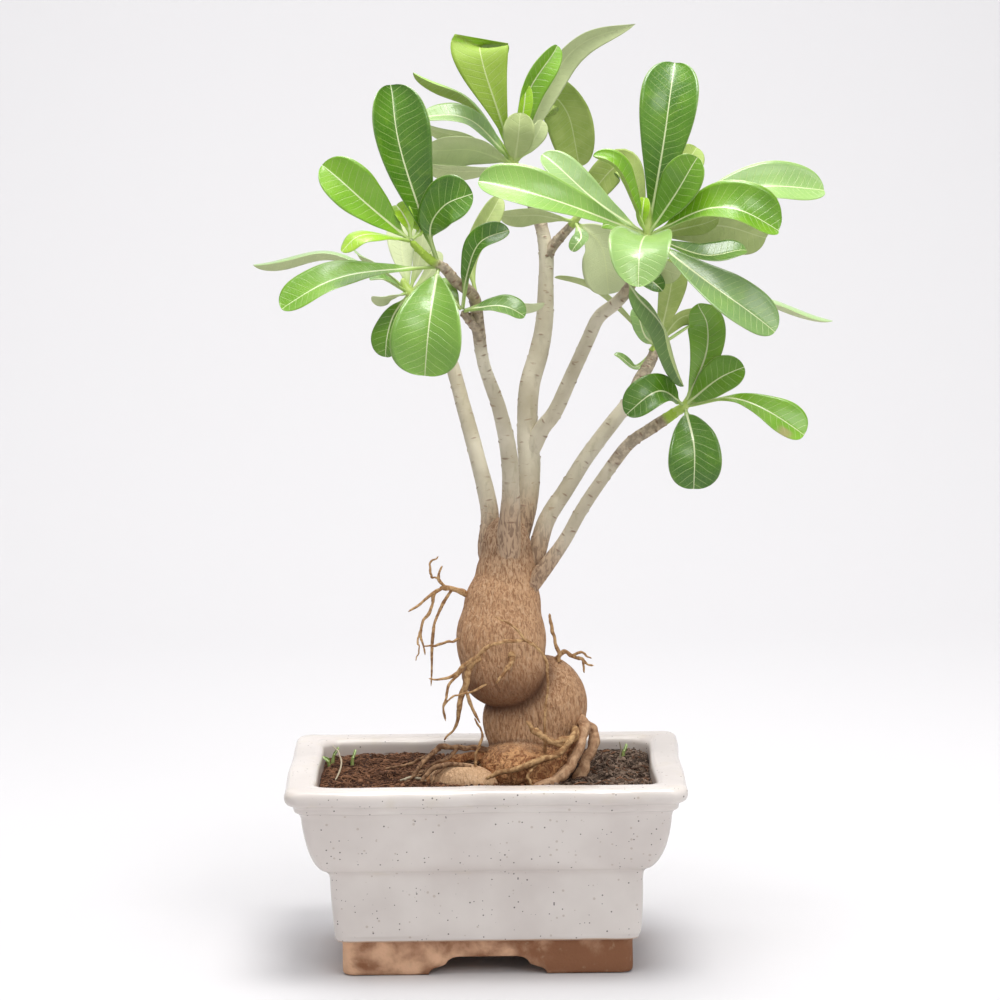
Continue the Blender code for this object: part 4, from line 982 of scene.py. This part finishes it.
# The tufts: where each grows from its stem, and its leaves as (points of the midrib after the
# stem, width, the way the blade faces, and what differs from the standard leaf).
TUFTS = {
    "front": ((-24, -51, 369), (
        (((-43, -60, 428), (-47, -60, 461)), 32, (0.35, -1, 0.1),
         {"fold": 0.34, "fresh": 0.08, "taper": 1.15, "stalk": 0.06, "roll": 0.6}),
        (((-28, -60, 388), (-21, -68, 400), (-8, -75, 407)), 27, (-0.25, -0.9, 0.35),
         {"fresh": 0.08, "taper": 0.7, "stalk": 0.3, "roll": 0.5, "fold": 0.05}),
        (((-70, -72, 365), (-103, -82, 351)), 24, (-0.1, -0.6, 0.8),
         {"fresh": 0.32, "taper": 1.3, "wave": 0.5}),
        (((-28, -72, 344), (-31, -76, 315)), 38, (-0.1, -1, 0.25),
         {"fresh": 0.3, "taper": 0.95, "roll": 0.5, "pale_and_sheen": 0.12}))),
    "shoot": ((-38, -58, 382), (
        (((-62, -70, 403), (-81, -76, 421)), 25, (-0.3, -0.8, 0.6),
         {"fresh": 0.42, "fold": 0.25, "taper": 0.9}),
        (((-54, -80, 386), (-64, -86, 385), (-72, -88, 378)), 14, (0, -0.5, 1),
         {"fresh": 0.85, "roll": -0.5, "tip": 0.5}),
        (((-39, -58, 390), (-42, -60, 396), (-45, -59, 401)), 9, (0.2, -1, 0.2),
         {"fresh": 1.0, "fold": 0.5}),
        (((-33, -56, 388), (-37, -55, 397)), 8, (-0.4, -1, 0.1), {"fresh": 0.9, "fold": 0.4}))),
    "left": ((-41, 42, 351), (
        (((-83, 50, 373), (-125, 54, 363)), 19, (0, -0.25, -1),
         {"under": 1, "pale_and_sheen": 0.5, "fresh": 0.2, "roll": 0.5}),
        (((-45, 50, 372), (-46, 58, 392)), 16, (0, -1, 0.2), {"under": 1, "pale_and_sheen": 0.75}),
        (((-36, 48, 370), (-33, 52, 387)), 12, (0.6, -0.8, 0), {"under": 1, "pale_and_sheen": 0.6}),
        (((-50, 36, 338), (-55, 32, 318)), 17, (-0.5, -0.9, 0), {"fresh": 0.2}),
        (((-59, 52, 366), (-72, 60, 371)), 12, (0, -0.5, -0.8), {"under": 1, "pale_and_sheen": 0.3}),
        (((-53, 36, 358), (-61, 34, 361)), 12, (0, -0.3, 1), {"fresh": 0.15}),
        (((-50, 33, 350), (-60, 30, 347)), 13, (0, -0.5, -1), {"under": 1, "pale_and_sheen": 0.6}),
        (((-30, 46, 362), (-26, 50, 374)), 9, (0, -1, 0.2), {"under": 1, "pale_and_sheen": 0.5}))),
    "twig": ((-12, -47, 346), (
        (((-9, -53, 366), (-3, -57, 381), (11, -58, 389)), 14, (-0.6, -0.75, 0.3),
         {"fresh": 0.0, "fold": 0.3, "taper": 1.2}),
        (((6, -54, 349), (20, -58, 346)), 15, (0, -0.6, 0.8), {"fresh": 0.12, "pale_and_sheen": 0.1}),
        (((-17, -44, 353), (-23, -44, 362)), 10, (0.5, -0.8, 0.2), {"fresh": 0.35, "pale_and_sheen": 0.3}),
        (((4, -44, 350), (30, -42, 347)), 12, (0, -0.5, -0.9), {"under": 1, "pale_and_sheen": 0.7}))),
    "bare_end": ((-5, -40, 352), (
        (((-7, -33, 376), (8, -26, 404)), 12, (0.2, -1, 0),
         {"under": 1, "fresh": 0.1, "pale_and_sheen": 0.15, "fold": 0.3}),)),
    "top": ((15, 30, 420), (
        (((7, 20, 446), (0, 18, 467), (-3, 20, 479), (-3, 27, 482), (-3, 36, 477)), 31,
         (0, -1, 0.1),
         {"under": 1, "fresh": 0.75, "blunt": 5.0, "taper": 1.5, "roll": 0.0, "fold": 0.05}),
        (((-8, 44, 454), (-40, 48, 466)), 16, (0, -0.35, -1),
         {"under": 1, "fresh": 0.7, "roll": 0.5}),
        (((-8, 31, 443), (-34, 30, 447)), 16, (0, -0.6, 0.8), {"fresh": 0.2, "pale_and_sheen": 0.55}),
        (((-8, 12, 428), (-31, 6, 426)), 21, (0, -0.8, -0.55),
         {"under": 1, "fresh": 0.25, "pale_and_sheen": 0.55, "blunt": 1.8}),
        (((22, 28, 457), (39, 30, 482)), 15, (0.6, -0.7, 0.3),
         {"fresh": 0.4, "fold": 0.45, "taper": 0.8, "blunt": 1.8}),
        (((34, 41, 463), (51, 42, 484), (80, 42, 493)), 15, (0.5, -0.9, -0.3),
         {"under": 1, "fresh": 0.3, "pale_and_sheen": 0.55, "blunt": 1.0, "point": 0.9, "fold": 0.3}),
        (((31, 54, 455), (44, 60, 447), (50, 64, 418)), 26, (-0.25, -1, -0.1),
         {"under": 1, "fresh": 0.5, "taper": 0.8, "stalk": 0.12}),
        (((17, 17, 434), (18, 12, 446)), 17, (0, -1, 0.1),
         {"under": 1, "fresh": 0.35, "pale_and_sheen": 0.3, "taper": 0.8}),
        (((-10, 32, 434), (-33, 36, 438)), 14, (0, -0.5, -0.8),
         {"under": 1, "fresh": 0.3, "pale_and_sheen": 0.3}),
        (((-4, 14, 417), (-31, 6, 417)), 14, (0, -0.6, -0.8), {"under": 1, "pale_and_sheen": 0.5}),
        (((18, 26, 438), (22, 24, 462)), 8, (0.4, -1, 0), {"fresh": 0.9, "fold": 0.5}),
        (((23, 26, 430), (31, 24, 442)), 10, (0.5, -0.9, 0), {"under": 1, "pale_and_sheen": 0.5}),
        (((10, 24, 436), (6, 22, 452)), 6, (0, -1, 0), {"fresh": 0.9, "fold": 0.5}))),
    "back": ((47, 14, 390), (
        (((26, 4, 394), (8, 0, 392)), 14, (0, -0.7, -0.7), {"under": 1, "fresh": 0.3, "pale_and_sheen": 0.35}),
        (((61, 16, 377), (65, 14, 352)), 26, (0, -1, 0.1),
         {"under": 1, "pale_and_sheen": 0.75, "fresh": 0.2, "taper": 0.7}),
        (((50, 3, 382), (45, -2, 377)), 9, (0, -0.6, 0.8), {"fresh": 0.1, "pale_and_sheen": 0.3}))),
    "middle": ((83, -38, 384), (
        (((40, -58, 401), (-3, -62, 414)), 26, (0, -0.8, 0.6),
         {"fresh": 0.36, "pale_and_sheen": 0.22, "taper": 1.2, "roll": 0.6}),
        (((54, -37, 404), (30, -34, 427)), 18, (0.3, -0.85, 0.45), {"fresh": 0.25, "pale_and_sheen": 0.5}),
        (((74, -48, 404), (66, -54, 420), (56, -56, 427)), 15, (0.4, -0.6, 0.75),
         {"fresh": 0.6, "roll": 1.2, "fold": 0.1}),
        (((91, -44, 433), (96, -42, 473)), 31, (-0.1, -1, 0.05),
         {"fresh": 0.08, "taper": 1.15, "blunt": 3.4, "fold": 0.1, "roll": 0.5, "tip": 9.0}),
        (((98, -53, 408), (106, -60, 424)), 22, (-0.2, -0.95, 0.3), {"fresh": 0.22, "fold": 0.2}),
        (((116, -59, 399), (149, -64, 392)), 31, (0.1, -0.75, 0.65),
         {"fresh": 0.28, "roll": 0.8, "taper": 1.25, "tip": 7.0}),
        (((132, -24, 407), (176, -16, 409)), 27, (0, -0.75, 0.65),
         {"fresh": 0.28, "pale_and_sheen": 0.35, "taper": 1.3, "roll": 0.5}),
        (((80, -66, 384), (77, -88, 378), (76, -98, 362)), 34, (0, -0.5, 0.9),
         {"fresh": 0.3, "pale_and_sheen": 0.42, "roll": 0.7, "taper": 0.7, "fold": 0.04}),
        (((116, -62, 359), (147, -70, 338)), 26, (0.2, -0.8, 0.5),
         {"fresh": 0.08, "pale_and_sheen": 0.25, "taper": 1.15}),
        (((113, -36, 374), (134, -33, 379)), 17, (0, -0.55, 0.8), {"fresh": 0.02, "pale_and_sheen": 0.12}),
        (((72, -18, 420), (52, -8, 403)), 17, (0, -0.9, 0.3), {"under": 1, "fresh": 0.5}),
        (((120, -18, 389), (147, -8, 381)), 26, (0, -0.9, -0.3),
         {"under": 1, "fresh": 0.45, "pale_and_sheen": 0.2}),
        (((101, -34, 388), (121, -30, 392)), 11, (0, -0.8, -0.5), {"under": 1, "fresh": 0.5}),
        (((98, -22, 412), (110, -14, 430)), 18, (0, -1, 0.1), {"under": 1, "fresh": 0.55}),
        (((72, -30, 388), (60, -26, 391)), 9, (0, -0.7, 0.6), {"fresh": 0.4}),
        (((80, -40, 392), (81, -43, 403)), 7, (0, -1, 0.1), {"fresh": 1.0, "fold": 0.6}),
        (((86, -36, 372), (99, -38, 363)), 15, (0, -0.7, -0.6), {"under": 1, "pale_and_sheen": 0.5}),
        (((77, -30, 377), (80, -34, 366), (90, -44, 358)), 12, (0, -0.8, 0.4), {"fresh": 0.02}))),
    "drooping": ((73, -24, 362), (
        (((79, -32, 352), (92, -42, 336), (99, -48, 307)), 14, (-0.9, -0.3, 0.25),
         {"fresh": 0.15, "pale_and_sheen": 0.25, "fold": 0.6, "blunt": 1.2, "taper": 0.6}),)),
    "right": ((91, 30, 323), (
        (((62, 34, 350), (38, 38, 362)), 13, (0, 0.25, 1), {"fresh": 0.15, "pale_and_sheen": 0.25}),
        (((140, 46, 349), (186, 52, 333)), 16, (0, -0.1, -1),
         {"under": 1, "pale_and_sheen": 0.7, "roll": 0.5}),
        (((97, 24, 350), (100, 20, 370)), 17, (0.5, -1, 0.2), {"under": 1, "fresh": 0.4}),
        (((103, 34, 338), (117, 38, 341)), 12, (0, -0.7, -0.6), {"under": 1, "fresh": 0.4}),
        (((84, 22, 330), (80, 20, 344)), 11, (0.3, -1, 0.2), {"fresh": 0.2, "pale_and_sheen": 0.4}),
        (((80, 26, 312), (70, 24, 321)), 6, (0, -0.5, 0.9), {"fresh": 0.25, "pale_and_sheen": 0.3}))),
    "low_right": ((103, -30, 296), (
        (((113, -38, 322), (114, -38, 338), (109, -44, 348)), 20, (-0.2, -1, 0.05),
         {"fresh": 0.35, "fold": 0.25, "blunt": 3.2}),
        (((118, -44, 310), (131, -50, 318)), 20, (0, -0.9, 0.45), {"fresh": 0.22, "taper": 0.9}),
        (((131, -40, 300), (164, -48, 284)), 21, (0, -0.75, 0.65),
         {"fresh": 0.4, "taper": 1.9, "stalk": 0.1, "blotch": 1, "fold": 0.2}),
        (((89, -48, 305), (72, -56, 295)), 20, (0, -0.85, 0.5),
         {"fresh": 0.06, "taper": 0.65, "roll": 0.6, "stalk": 0.1}),
        (((107, -46, 277), (107, -50, 255)), 28, (0, -1, 0.15),
         {"fresh": 0.07, "taper": 0.7, "stalk": 0.08}),
        (((106, -30, 303), (115, -24, 312)), 6, (0, -1, 0.3), {"fresh": 0.9, "fold": 0.4}))),
}
CAD_LEAVES = {"front": 4, "shoot": 2, "left": 4, "twig": 2, "bare_end": 1, "top": 8, "back": 2,
              "middle": 11, "right": 3, "low_right": 5}


def leaf_surface(route, width, facing, shape, seed):
    """A closed thin blade. Its midrib is a smooth path through the route. At each place along
    it the section spans the half width 0.5 w t^taper (1 - t^blunt)^point, scaled to the full
    width at its widest, bent by a fold at the midrib and by a roll into an arc, with a wave
    near its edge. The tip bends back by a square law. The upper and under side lie half a
    thickness off the midrib's surface, with a keel beneath."""
    path = smooth_path(route, 16)
    steps = np.concatenate([[0], np.cumsum(np.linalg.norm(np.diff(path, axis=0), axis=1))])
    length = steps[-1]
    t = 1 - (1 - np.linspace(0, 1, LEAF_ALONG)) ** 1.5
    centre = np.stack([np.interp(t * length, steps, path[:, axis]) for axis in range(3)], axis=1)
    along = np.gradient(centre, t, axis=0)
    along /= np.linalg.norm(along, axis=1)[:, None]
    up = np.asarray(facing, float) - along * (along @ np.asarray(facing, float))[:, None]
    up /= np.linalg.norm(up, axis=1)[:, None]
    centre = centre - shape["tip"] * (np.maximum(t - 0.66, 0)[:, None] / 0.34) ** 2 * up
    along = np.gradient(centre, t, axis=0)
    along /= np.linalg.norm(along, axis=1)[:, None]
    up = up - along * (up * along).sum(axis=1)[:, None]
    up /= np.linalg.norm(up, axis=1)[:, None]
    across = np.cross(along, up)
    turn = np.radians(shape["twist"]) * t[:, None]
    up, across = up * np.cos(turn) + across * np.sin(turn), across * np.cos(turn) - up * np.sin(turn)
    own = np.clip((t - shape["stalk"]) / (1 - shape["stalk"]), 0, 1)
    outline = own ** shape["taper"] * np.maximum(1 - own ** shape["blunt"], 0) ** shape["point"]
    blade_half = 0.5 * width * outline / outline.max()
    stalk_half = STALK_RADIUS * (1 - 0.4 * t) * np.sqrt(np.clip((1 - t) * 18, 0, 1))
    half = np.maximum(blade_half, stalk_half)[:, None]
    stalky = np.clip((3.2 - half) / 1.8, 0, 1) * (t[:, None] < 0.7)
    a = np.linspace(-1, 1, LEAF_ACROSS)[None]
    roll = shape["roll"] if abs(shape["roll"]) > 0.02 else 0.02
    aside = half * np.sin(a * roll) / roll
    rise = half * (1 - np.cos(a * roll)) / roll + shape["fold"] * np.abs(aside)
    random = np.random.default_rng(seed)
    beat, phase = random.uniform(2.2, 3.6), random.uniform(0, 6, 2)
    side_phase = np.where(a < 0, phase[0], phase[1])
    rise = rise + shape["wave"] * 0.1 * half * np.abs(a) ** 3 * np.sin(
        2 * np.pi * beat * t[:, None] + side_phase)
    rise = rise * (1 - stalky)
    surface = centre[:, None] + aside[..., None] * across[:, None] + rise[..., None] * up[:, None]
    blade = BLADE_THICKNESS * (1 - 0.55 * a ** 2)
    thick = blade + (1.7 * STALK_RADIUS * np.sqrt(1.02 - a ** 2) - blade) * stalky
    thick = thick * np.clip((1 - t[:, None]) * 25, 0.3, 1)
    keel = 0.75 * (1 - t[:, None]) * np.exp(-(aside / 0.95) ** 2) * (1 - stalky)
    groove = 0.12 * np.exp(-(aside / 0.7) ** 2) * (1 - stalky)
    side = -1 if shape["under"] else 1
    top = surface + side * (0.5 * thick - groove)[..., None] * up[:, None]
    under = surface - side * (0.5 * thick + keel)[..., None] * up[:, None]
    rings = np.concatenate([top, under[:, ::-1]], axis=1)
    distance = np.concatenate([aside, aside[:, ::-1]], axis=1)
    travelled = np.repeat((t * length)[:, None], 2 * LEAF_ACROSS, axis=1)
    share = np.repeat(t[:, None], 2 * LEAF_ACROSS, axis=1)
    edge = np.repeat(np.abs(np.concatenate([a, a[:, ::-1]], axis=1)), LEAF_ALONG, axis=0)
    beneath = np.repeat(np.repeat([[0.0, 1.0]], LEAF_ACROSS, axis=1), LEAF_ALONG, axis=0)
    stalk_mark = np.concatenate([stalky + 0 * a, stalky + 0 * a], axis=1)
    plan = np.stack([distance, travelled + 7.3 * seed, share], axis=-1)
    edges = np.stack([edge, beneath, stalk_mark], axis=-1)
    return rings, plan, edges


def leaf_finish():
    """Green above, from dark to yellow-green with the leaf's freshness, and lightened to grey-green as
    painted sheen: cream midrib, side veins that leave it aslant every four millimetres, a faint net
    and a pale thin edge. Beneath it is paler and matt, with the midrib standing out."""
    made, tree, shader, where = new_finish("leathery_leaf", 0.3, 0.5)
    aside, travelled, share = split(tree, wire(tree, "ShaderNodeAttribute", {},
                                               attribute_name="plan").outputs[1])
    edge, beneath, stalky = split(tree, wire(tree, "ShaderNodeAttribute", {},
                                             attribute_name="edges").outputs[1])
    fresh, pale_and_sheen, blotch = split(tree, wire(tree, "ShaderNodeAttribute", {},
                                           attribute_name="age").outputs[1])
    off = maths(tree, "ABSOLUTE", aside)
    flat = wire(tree, "ShaderNodeCombineXYZ", {0: aside, 1: travelled}).outputs[0]
    wobble = maths(tree, "MULTIPLY", noise(tree, flat, 0.07, 1.0), 3.2)
    left = maths(tree, "MULTIPLY", maths(tree, "GREATER_THAN", aside, 0.0), 1.7)
    slant = maths(tree, "MULTIPLY", off, 0.55)
    phase = maths(tree, "ADD", maths(tree, "SUBTRACT", travelled, slant),
                  maths(tree, "ADD", left, wobble))
    cycle = maths(tree, "FRACT", maths(tree, "DIVIDE", phase, 3.7))
    from_vein = maths(tree, "MULTIPLY",
                      maths(tree, "ABSOLUTE", maths(tree, "SUBTRACT", cycle, 0.5)), 3.7)
    side_vein = maths(tree, "MULTIPLY", fade(tree, from_vein, 0.27, 0.02),
                      maths(tree, "MULTIPLY", fade(tree, edge, 1.0, 0.55, 0.12, 1.0),
                            fade(tree, share, 0.1, 0.3)))
    half_rib = maths(tree, "ADD", maths(tree, "MULTIPLY", share, -0.5), 0.66)
    midrib = fade(tree, maths(tree, "SUBTRACT", off, half_rib), 0.15, -0.18)
    net = wire(tree, "ShaderNodeTexVoronoi", {"Vector": flat, "Scale": 0.75},
               feature="DISTANCE_TO_EDGE").outputs["Distance"]
    net = fade(tree, net, 0.09, 0.0)
    mottle = noise(tree, flat, 0.12, 4.0)
    shade = noise(tree, flat, 0.045, 2.0)

    dark = tint(tree, fade(tree, shade, 0.3, 0.7), (0.035, 0.125, 0.001), (0.075, 0.21, 0.004))
    middle = tint(tree, fade(tree, shade, 0.3, 0.7), (0.15, 0.36, 0.002), (0.21, 0.43, 0.015))
    young = tint(tree, fade(tree, shade, 0.3, 0.7), (0.30, 0.55, 0.012), (0.42, 0.66, 0.05))
    above = tint(tree, fade(tree, fresh, 0.0, 0.5), dark, middle)
    above = tint(tree, fade(tree, fresh, 0.5, 1.0), above, young)
    above = tint(tree, fade(tree, mottle, 0.5, 0.75, 0.0, 0.3), above, (0.20, 0.37, 0.02))
    # Painted sheen: this mix lightens the upper side toward grey-green in place of reflected light.
    above = tint(tree, pale_and_sheen, above, (0.44, 0.60, 0.30))
    above = tint(tree, maths(tree, "MULTIPLY", net, 0.09), above, (0.42, 0.58, 0.12))
    above = tint(tree, maths(tree, "MULTIPLY", side_vein, 0.4), above, (0.52, 0.68, 0.22))
    above = tint(tree, fade(tree, edge, 0.955, 1.0, 0.0, 0.4), above, (0.55, 0.66, 0.28))
    above = tint(tree, maths(tree, "MULTIPLY", midrib, 0.92), above, (0.72, 0.78, 0.46))
    burn = maths(tree, "MULTIPLY", maths(tree, "MULTIPLY", blotch,
                                         fade(tree, share, 0.78, 0.85, 0.0, 0.7)),
                 maths(tree, "MULTIPLY", fade(tree, aside, 2.5, 5.0),
                       fade(tree, share, 0.95, 0.88)))
    above = tint(tree, burn, above, (0.36, 0.26, 0.13))

    under = tint(tree, fade(tree, mottle, 0.35, 0.7), (0.31, 0.41, 0.10), (0.40, 0.49, 0.15))
    under = tint(tree, fade(tree, fresh, 0.35, 0.9), under, (0.22, 0.36, 0.012))
    # Beneath, the same number is the underside's own paler colour.
    under = tint(tree, pale_and_sheen, under, (0.66, 0.71, 0.46))
    under = tint(tree, maths(tree, "MULTIPLY", net, 0.08), under, (0.55, 0.60, 0.34))
    under = tint(tree, maths(tree, "MULTIPLY", side_vein, 0.22), under, (0.60, 0.68, 0.36))
    under = tint(tree, maths(tree, "MULTIPLY", midrib, 0.55), under, (0.66, 0.72, 0.40))
    colour = tint(tree, beneath, above, under)
    colour = tint(tree, maths(tree, "MULTIPLY", stalky, 0.7), colour, (0.40, 0.55, 0.14))
    tree.links.new(colour, shader.inputs["Base Color"])
    worn = noise(tree, flat, 0.5, 3.0)
    tree.links.new(fade(tree, beneath, 0.0, 1.0, 0.55, 0.0), shader.inputs["Coat Weight"])
    shader.inputs["Coat Roughness"].default_value = 0.2
    tree.links.new(maths(tree, "ADD", fade(tree, beneath, 0.0, 1.0, 0.24, 0.55),
                         maths(tree, "MULTIPLY", worn, 0.14)), shader.inputs["Roughness"])
    relief = maths(tree, "ADD", maths(tree, "MULTIPLY", side_vein, -0.5),
                   maths(tree, "ADD", maths(tree, "MULTIPLY", net, -0.16),
                         maths(tree, "MULTIPLY", mottle, 0.6)))
    raise_surface(tree, shader, relief, 0.22)
    return made


leaf_skin = leaf_finish()
leaf_seed = 0
for tuft, (heart, leaves) in TUFTS.items():
    for number, (route, width, facing, differs) in enumerate(leaves, 1):
        shape = {**STANDARD, **differs}
        heart_point, first = np.array(heart, float), np.array(route[0], float)
        begin = heart_point + 1.2 * (first - heart_point) / np.linalg.norm(first - heart_point)
        rings, plan, edges = leaf_surface([begin, *route], width, facing, shape, leaf_seed)
        points, faces = skin(rings)
        plan, edges = plan.reshape(-1, 3), edges.reshape(-1, 3)
        # The second number is the leaf's own paleness beneath and its painted sheen above.
        age = np.tile((shape["fresh"], shape["pale_and_sheen"], shape["blotch"]), (len(points), 1))
        name = f"leaf_{tuft}_{number}"
        nodes = (name,) if number <= CAD_LEAVES.get(tuft, 0) else ()
        add_piece(name + "_blade", place(lean(points)), faces, leaf_skin, "leaf_blade", *nodes,
                  plan=np.vstack([plan, plan[0], plan[-1]]),
                  edges=np.vstack([edges, edges[0], edges[-1]]), age=age)
        leaf_seed += 1

# Short green shoots in the tufts' middles, from which the youngest leaves come.
SHOOTS = {
    "shoot_top": ((17, 29, 412, 2.6), (15, 30, 420, 2.5), (13, 28, 430, 2.1), (12, 27, 438, 1.2)),
    "shoot_middle": ((82, -35, 378, 2.4), (83, -38, 386, 2.6), (83, -40, 396, 2.0),
                     (83, -41, 402, 1.0)),
    "shoot_low_right": ((98, -28.5, 292.5, 2.5), (103, -30, 296, 2.4), (106, -30, 302, 1.4)),
    "shoot_left": ((-39, 41, 349, 3.0), (-43, 43, 354, 2.4), (-45, 44, 359, 1.2)),
    "shoot_back": ((45, 15, 388, 2.2), (48, 13, 392, 2.0), (51, 12, 396, 1.1)),
    "shoot_right": ((89, 29, 320, 2.8), (92, 30, 325, 2.4), (93, 30, 330, 1.2)),
}


def shoot_finish():
    made, tree, shader, where = new_finish("soft_green_shoot", 0.45, 0.4)
    colour = tint(tree, fade(tree, noise(tree, where, 180.0, 3.0), 0.35, 0.65),
                  (0.36, 0.50, 0.09), (0.50, 0.60, 0.20))
    tree.links.new(colour, shader.inputs["Base Color"])
    raise_surface(tree, shader, noise(tree, where, 600.0, 3.0), 0.2)
    return made


shoot_skin = shoot_finish()
for name, chain in SHOOTS.items():
    points, faces = skin(tube_rings(chain, 16, 8)[0])
    add_piece(name, place(lean(points)), faces, shoot_skin, "stem_bark")


# ---- Weeds ----------------------------------------------------------------------------------
# Seedlings that came up in the pot's corners: a few small soft blades and a pale dry stalk.

WEEDS = {
    "weed_blade_left": (((-83, 30, 96), (-82, 29, 102), (-80, 27, 105.5)), 1.7, 0.15),
    "weed_blade_inner": (((-72, 22, 96), (-71.5, 21, 102), (-70, 20, 106)), 1.5, 0.2),
    "weed_blade_corner": (((-84, 24, 96), (-85, 22, 101), (-86, 21, 102.5)), 2.0, 0.35),
    "weed_blade_right": (((74, 34, 96), (74.5, 34, 101), (76, 33, 104.5)), 1.5, 0.4),
}
WEED_STALKS = {
    "weed_stalk_left": ((-80, -12, 97, 0.45), (-77, 0, 102, 0.45), (-78, 12, 106, 0.4),
                        (-82, 22, 109, 0.3)),
    "weed_stalk_right": ((72, 30, 97, 0.45), (73, 30, 103, 0.4), (72, 29, 108, 0.25)),
    "pale_shred": ((-45, -22, 99.5, 0.6), (-41, -23, 101, 0.7), (-36, -22, 100.6, 0.6),
                   (-31, -23, 99.4, 0.4)),
}
for number, (name, (route, width, fresh)) in enumerate(WEEDS.items()):
    shape = {**STANDARD, "fresh": fresh, "fold": 0.4, "blunt": 1.6}
    rings, plan, edges = leaf_surface(route, width, (0.2, -1, 0.3), shape, 300 + number)
    points, faces = skin(rings)
    plan, edges = plan.reshape(-1, 3), edges.reshape(-1, 3)
    # The second number, 0.1, is a faint painted sheen on the blades' upper side.
    add_piece(name, place(points), faces, leaf_skin, "leaf_blade",
              plan=np.vstack([plan, plan[0], plan[-1]]),
              edges=np.vstack([edges, edges[0], edges[-1]]),
              age=np.tile((fresh, 0.1, 0.0), (len(points), 1)))
for number, (name, chain) in enumerate(WEED_STALKS.items()):
    points, faces = skin(tube_rings(crooked(chain, 320 + number, 0.2), 8, 3)[0])
    add_piece(name, place(points), faces, pale_straw, "potting_soil",
              tone=np.tile((0.6, 0, 0), (len(points), 1)))


# ---- Studio ---------------------------------------------------------------------------------
# A seamless pale table and backdrop, a broad soft light overhead, a softer one from the front
# and a bright room all round. The camera looks a little down at the plant from the front.

def studio_finish():
    made, tree, shader, where = new_finish("pale_paper", 0.9, 0.1)
    shader.inputs["Base Color"].default_value = (0.66, 0.655, 0.667, 1)
    return made


def sweep_surface():
    """A floor that curves up into a wall behind: a straight run, a quarter circle, a rise."""
    floor_y, wall_y, bend = -1.6, 0.9, 0.7
    turn = np.linspace(0, 0.5 * np.pi, 24)
    y = np.concatenate([np.linspace(floor_y, wall_y, 12), wall_y + bend * np.sin(turn[1:]),
                        [wall_y + bend]])
    z = np.concatenate([np.zeros(12), bend * (1 - np.cos(turn[1:])), [3.0]])
    x = np.array([-3.0, 3.0])
    return np.stack([np.tile(x, (len(y), 1)), np.repeat(y[:, None], 2, axis=1),
                     np.repeat(z[:, None], 2, axis=1)], axis=-1)


sweep = sweep_surface()
sweep_mesh = bpy.data.meshes.new("studio_sweep")
rows = np.arange(len(sweep) - 1) * 2
sweep_mesh.from_pydata(sweep.reshape(-1, 3).tolist(), [],
                       np.stack([rows, rows + 1, rows + 3, rows + 2], axis=1).tolist())
sweep_mesh.shade_smooth()
sweep_mesh.materials.append(studio_finish())
studio = bpy.data.objects.new("studio_sweep", sweep_mesh)
bpy.context.scene.collection.objects.link(studio)

LIGHTS = {                     # (place, aim, size, watts)
    "overhead_light": ((0.12, -0.3, 1.4), (0.0, 0.0, 0.25), 0.62, 14.0),
    "front_light": ((0.9, -1.7, 1.4), (0.0, 0.0, 0.25), 0.9, 8.5),
    "backdrop_light": ((-0.2, 0.55, 2.1), (0.0, 1.5, 0.4), 1.5, 25.0),
}
for name, (spot, aim, size, watts) in LIGHTS.items():
    lamp = bpy.data.lights.new(name, "AREA")
    lamp.shape, lamp.size, lamp.energy = "DISK", size, watts
    lamp.color = (1.0, 0.985, 0.97)
    light = bpy.data.objects.new(name, lamp)
    light.location = spot
    direction = np.subtract(aim, spot)
    light.rotation_euler = (np.arctan2(np.hypot(*direction[:2]), -direction[2]), 0,
                            np.arctan2(-direction[0], direction[1]))
    bpy.context.scene.collection.objects.link(light)

room = bpy.data.worlds.new("bright_room")
room.use_nodes = True
room.node_tree.nodes["Background"].inputs["Color"].default_value = (0.97, 0.975, 1.0, 1)
room.node_tree.nodes["Background"].inputs["Strength"].default_value = 0.55
bpy.context.scene.world = room
bpy.context.scene.view_settings.view_transform = "Standard"

CAMERA_FROM_POT = np.array([9.2, -1871.0, 526.0])
CAMERA_PITCH, CAMERA_ROLL = np.radians(8.55), np.radians(-0.67)
lens = bpy.data.cameras.new("plant_camera")
lens.lens, lens.sensor_width = 129.6, 36.0
lens.clip_end = 20.0
camera = bpy.data.objects.new("plant_camera", lens)
camera.location = place(CAMERA_FROM_POT)
camera.rotation_mode = "ZYX"   # the roll is about the camera's own axis, so it comes first
camera.rotation_euler = (0.5 * np.pi - CAMERA_PITCH, 0, CAMERA_ROLL)
bpy.context.scene.collection.objects.link(camera)
bpy.context.scene.camera = camera
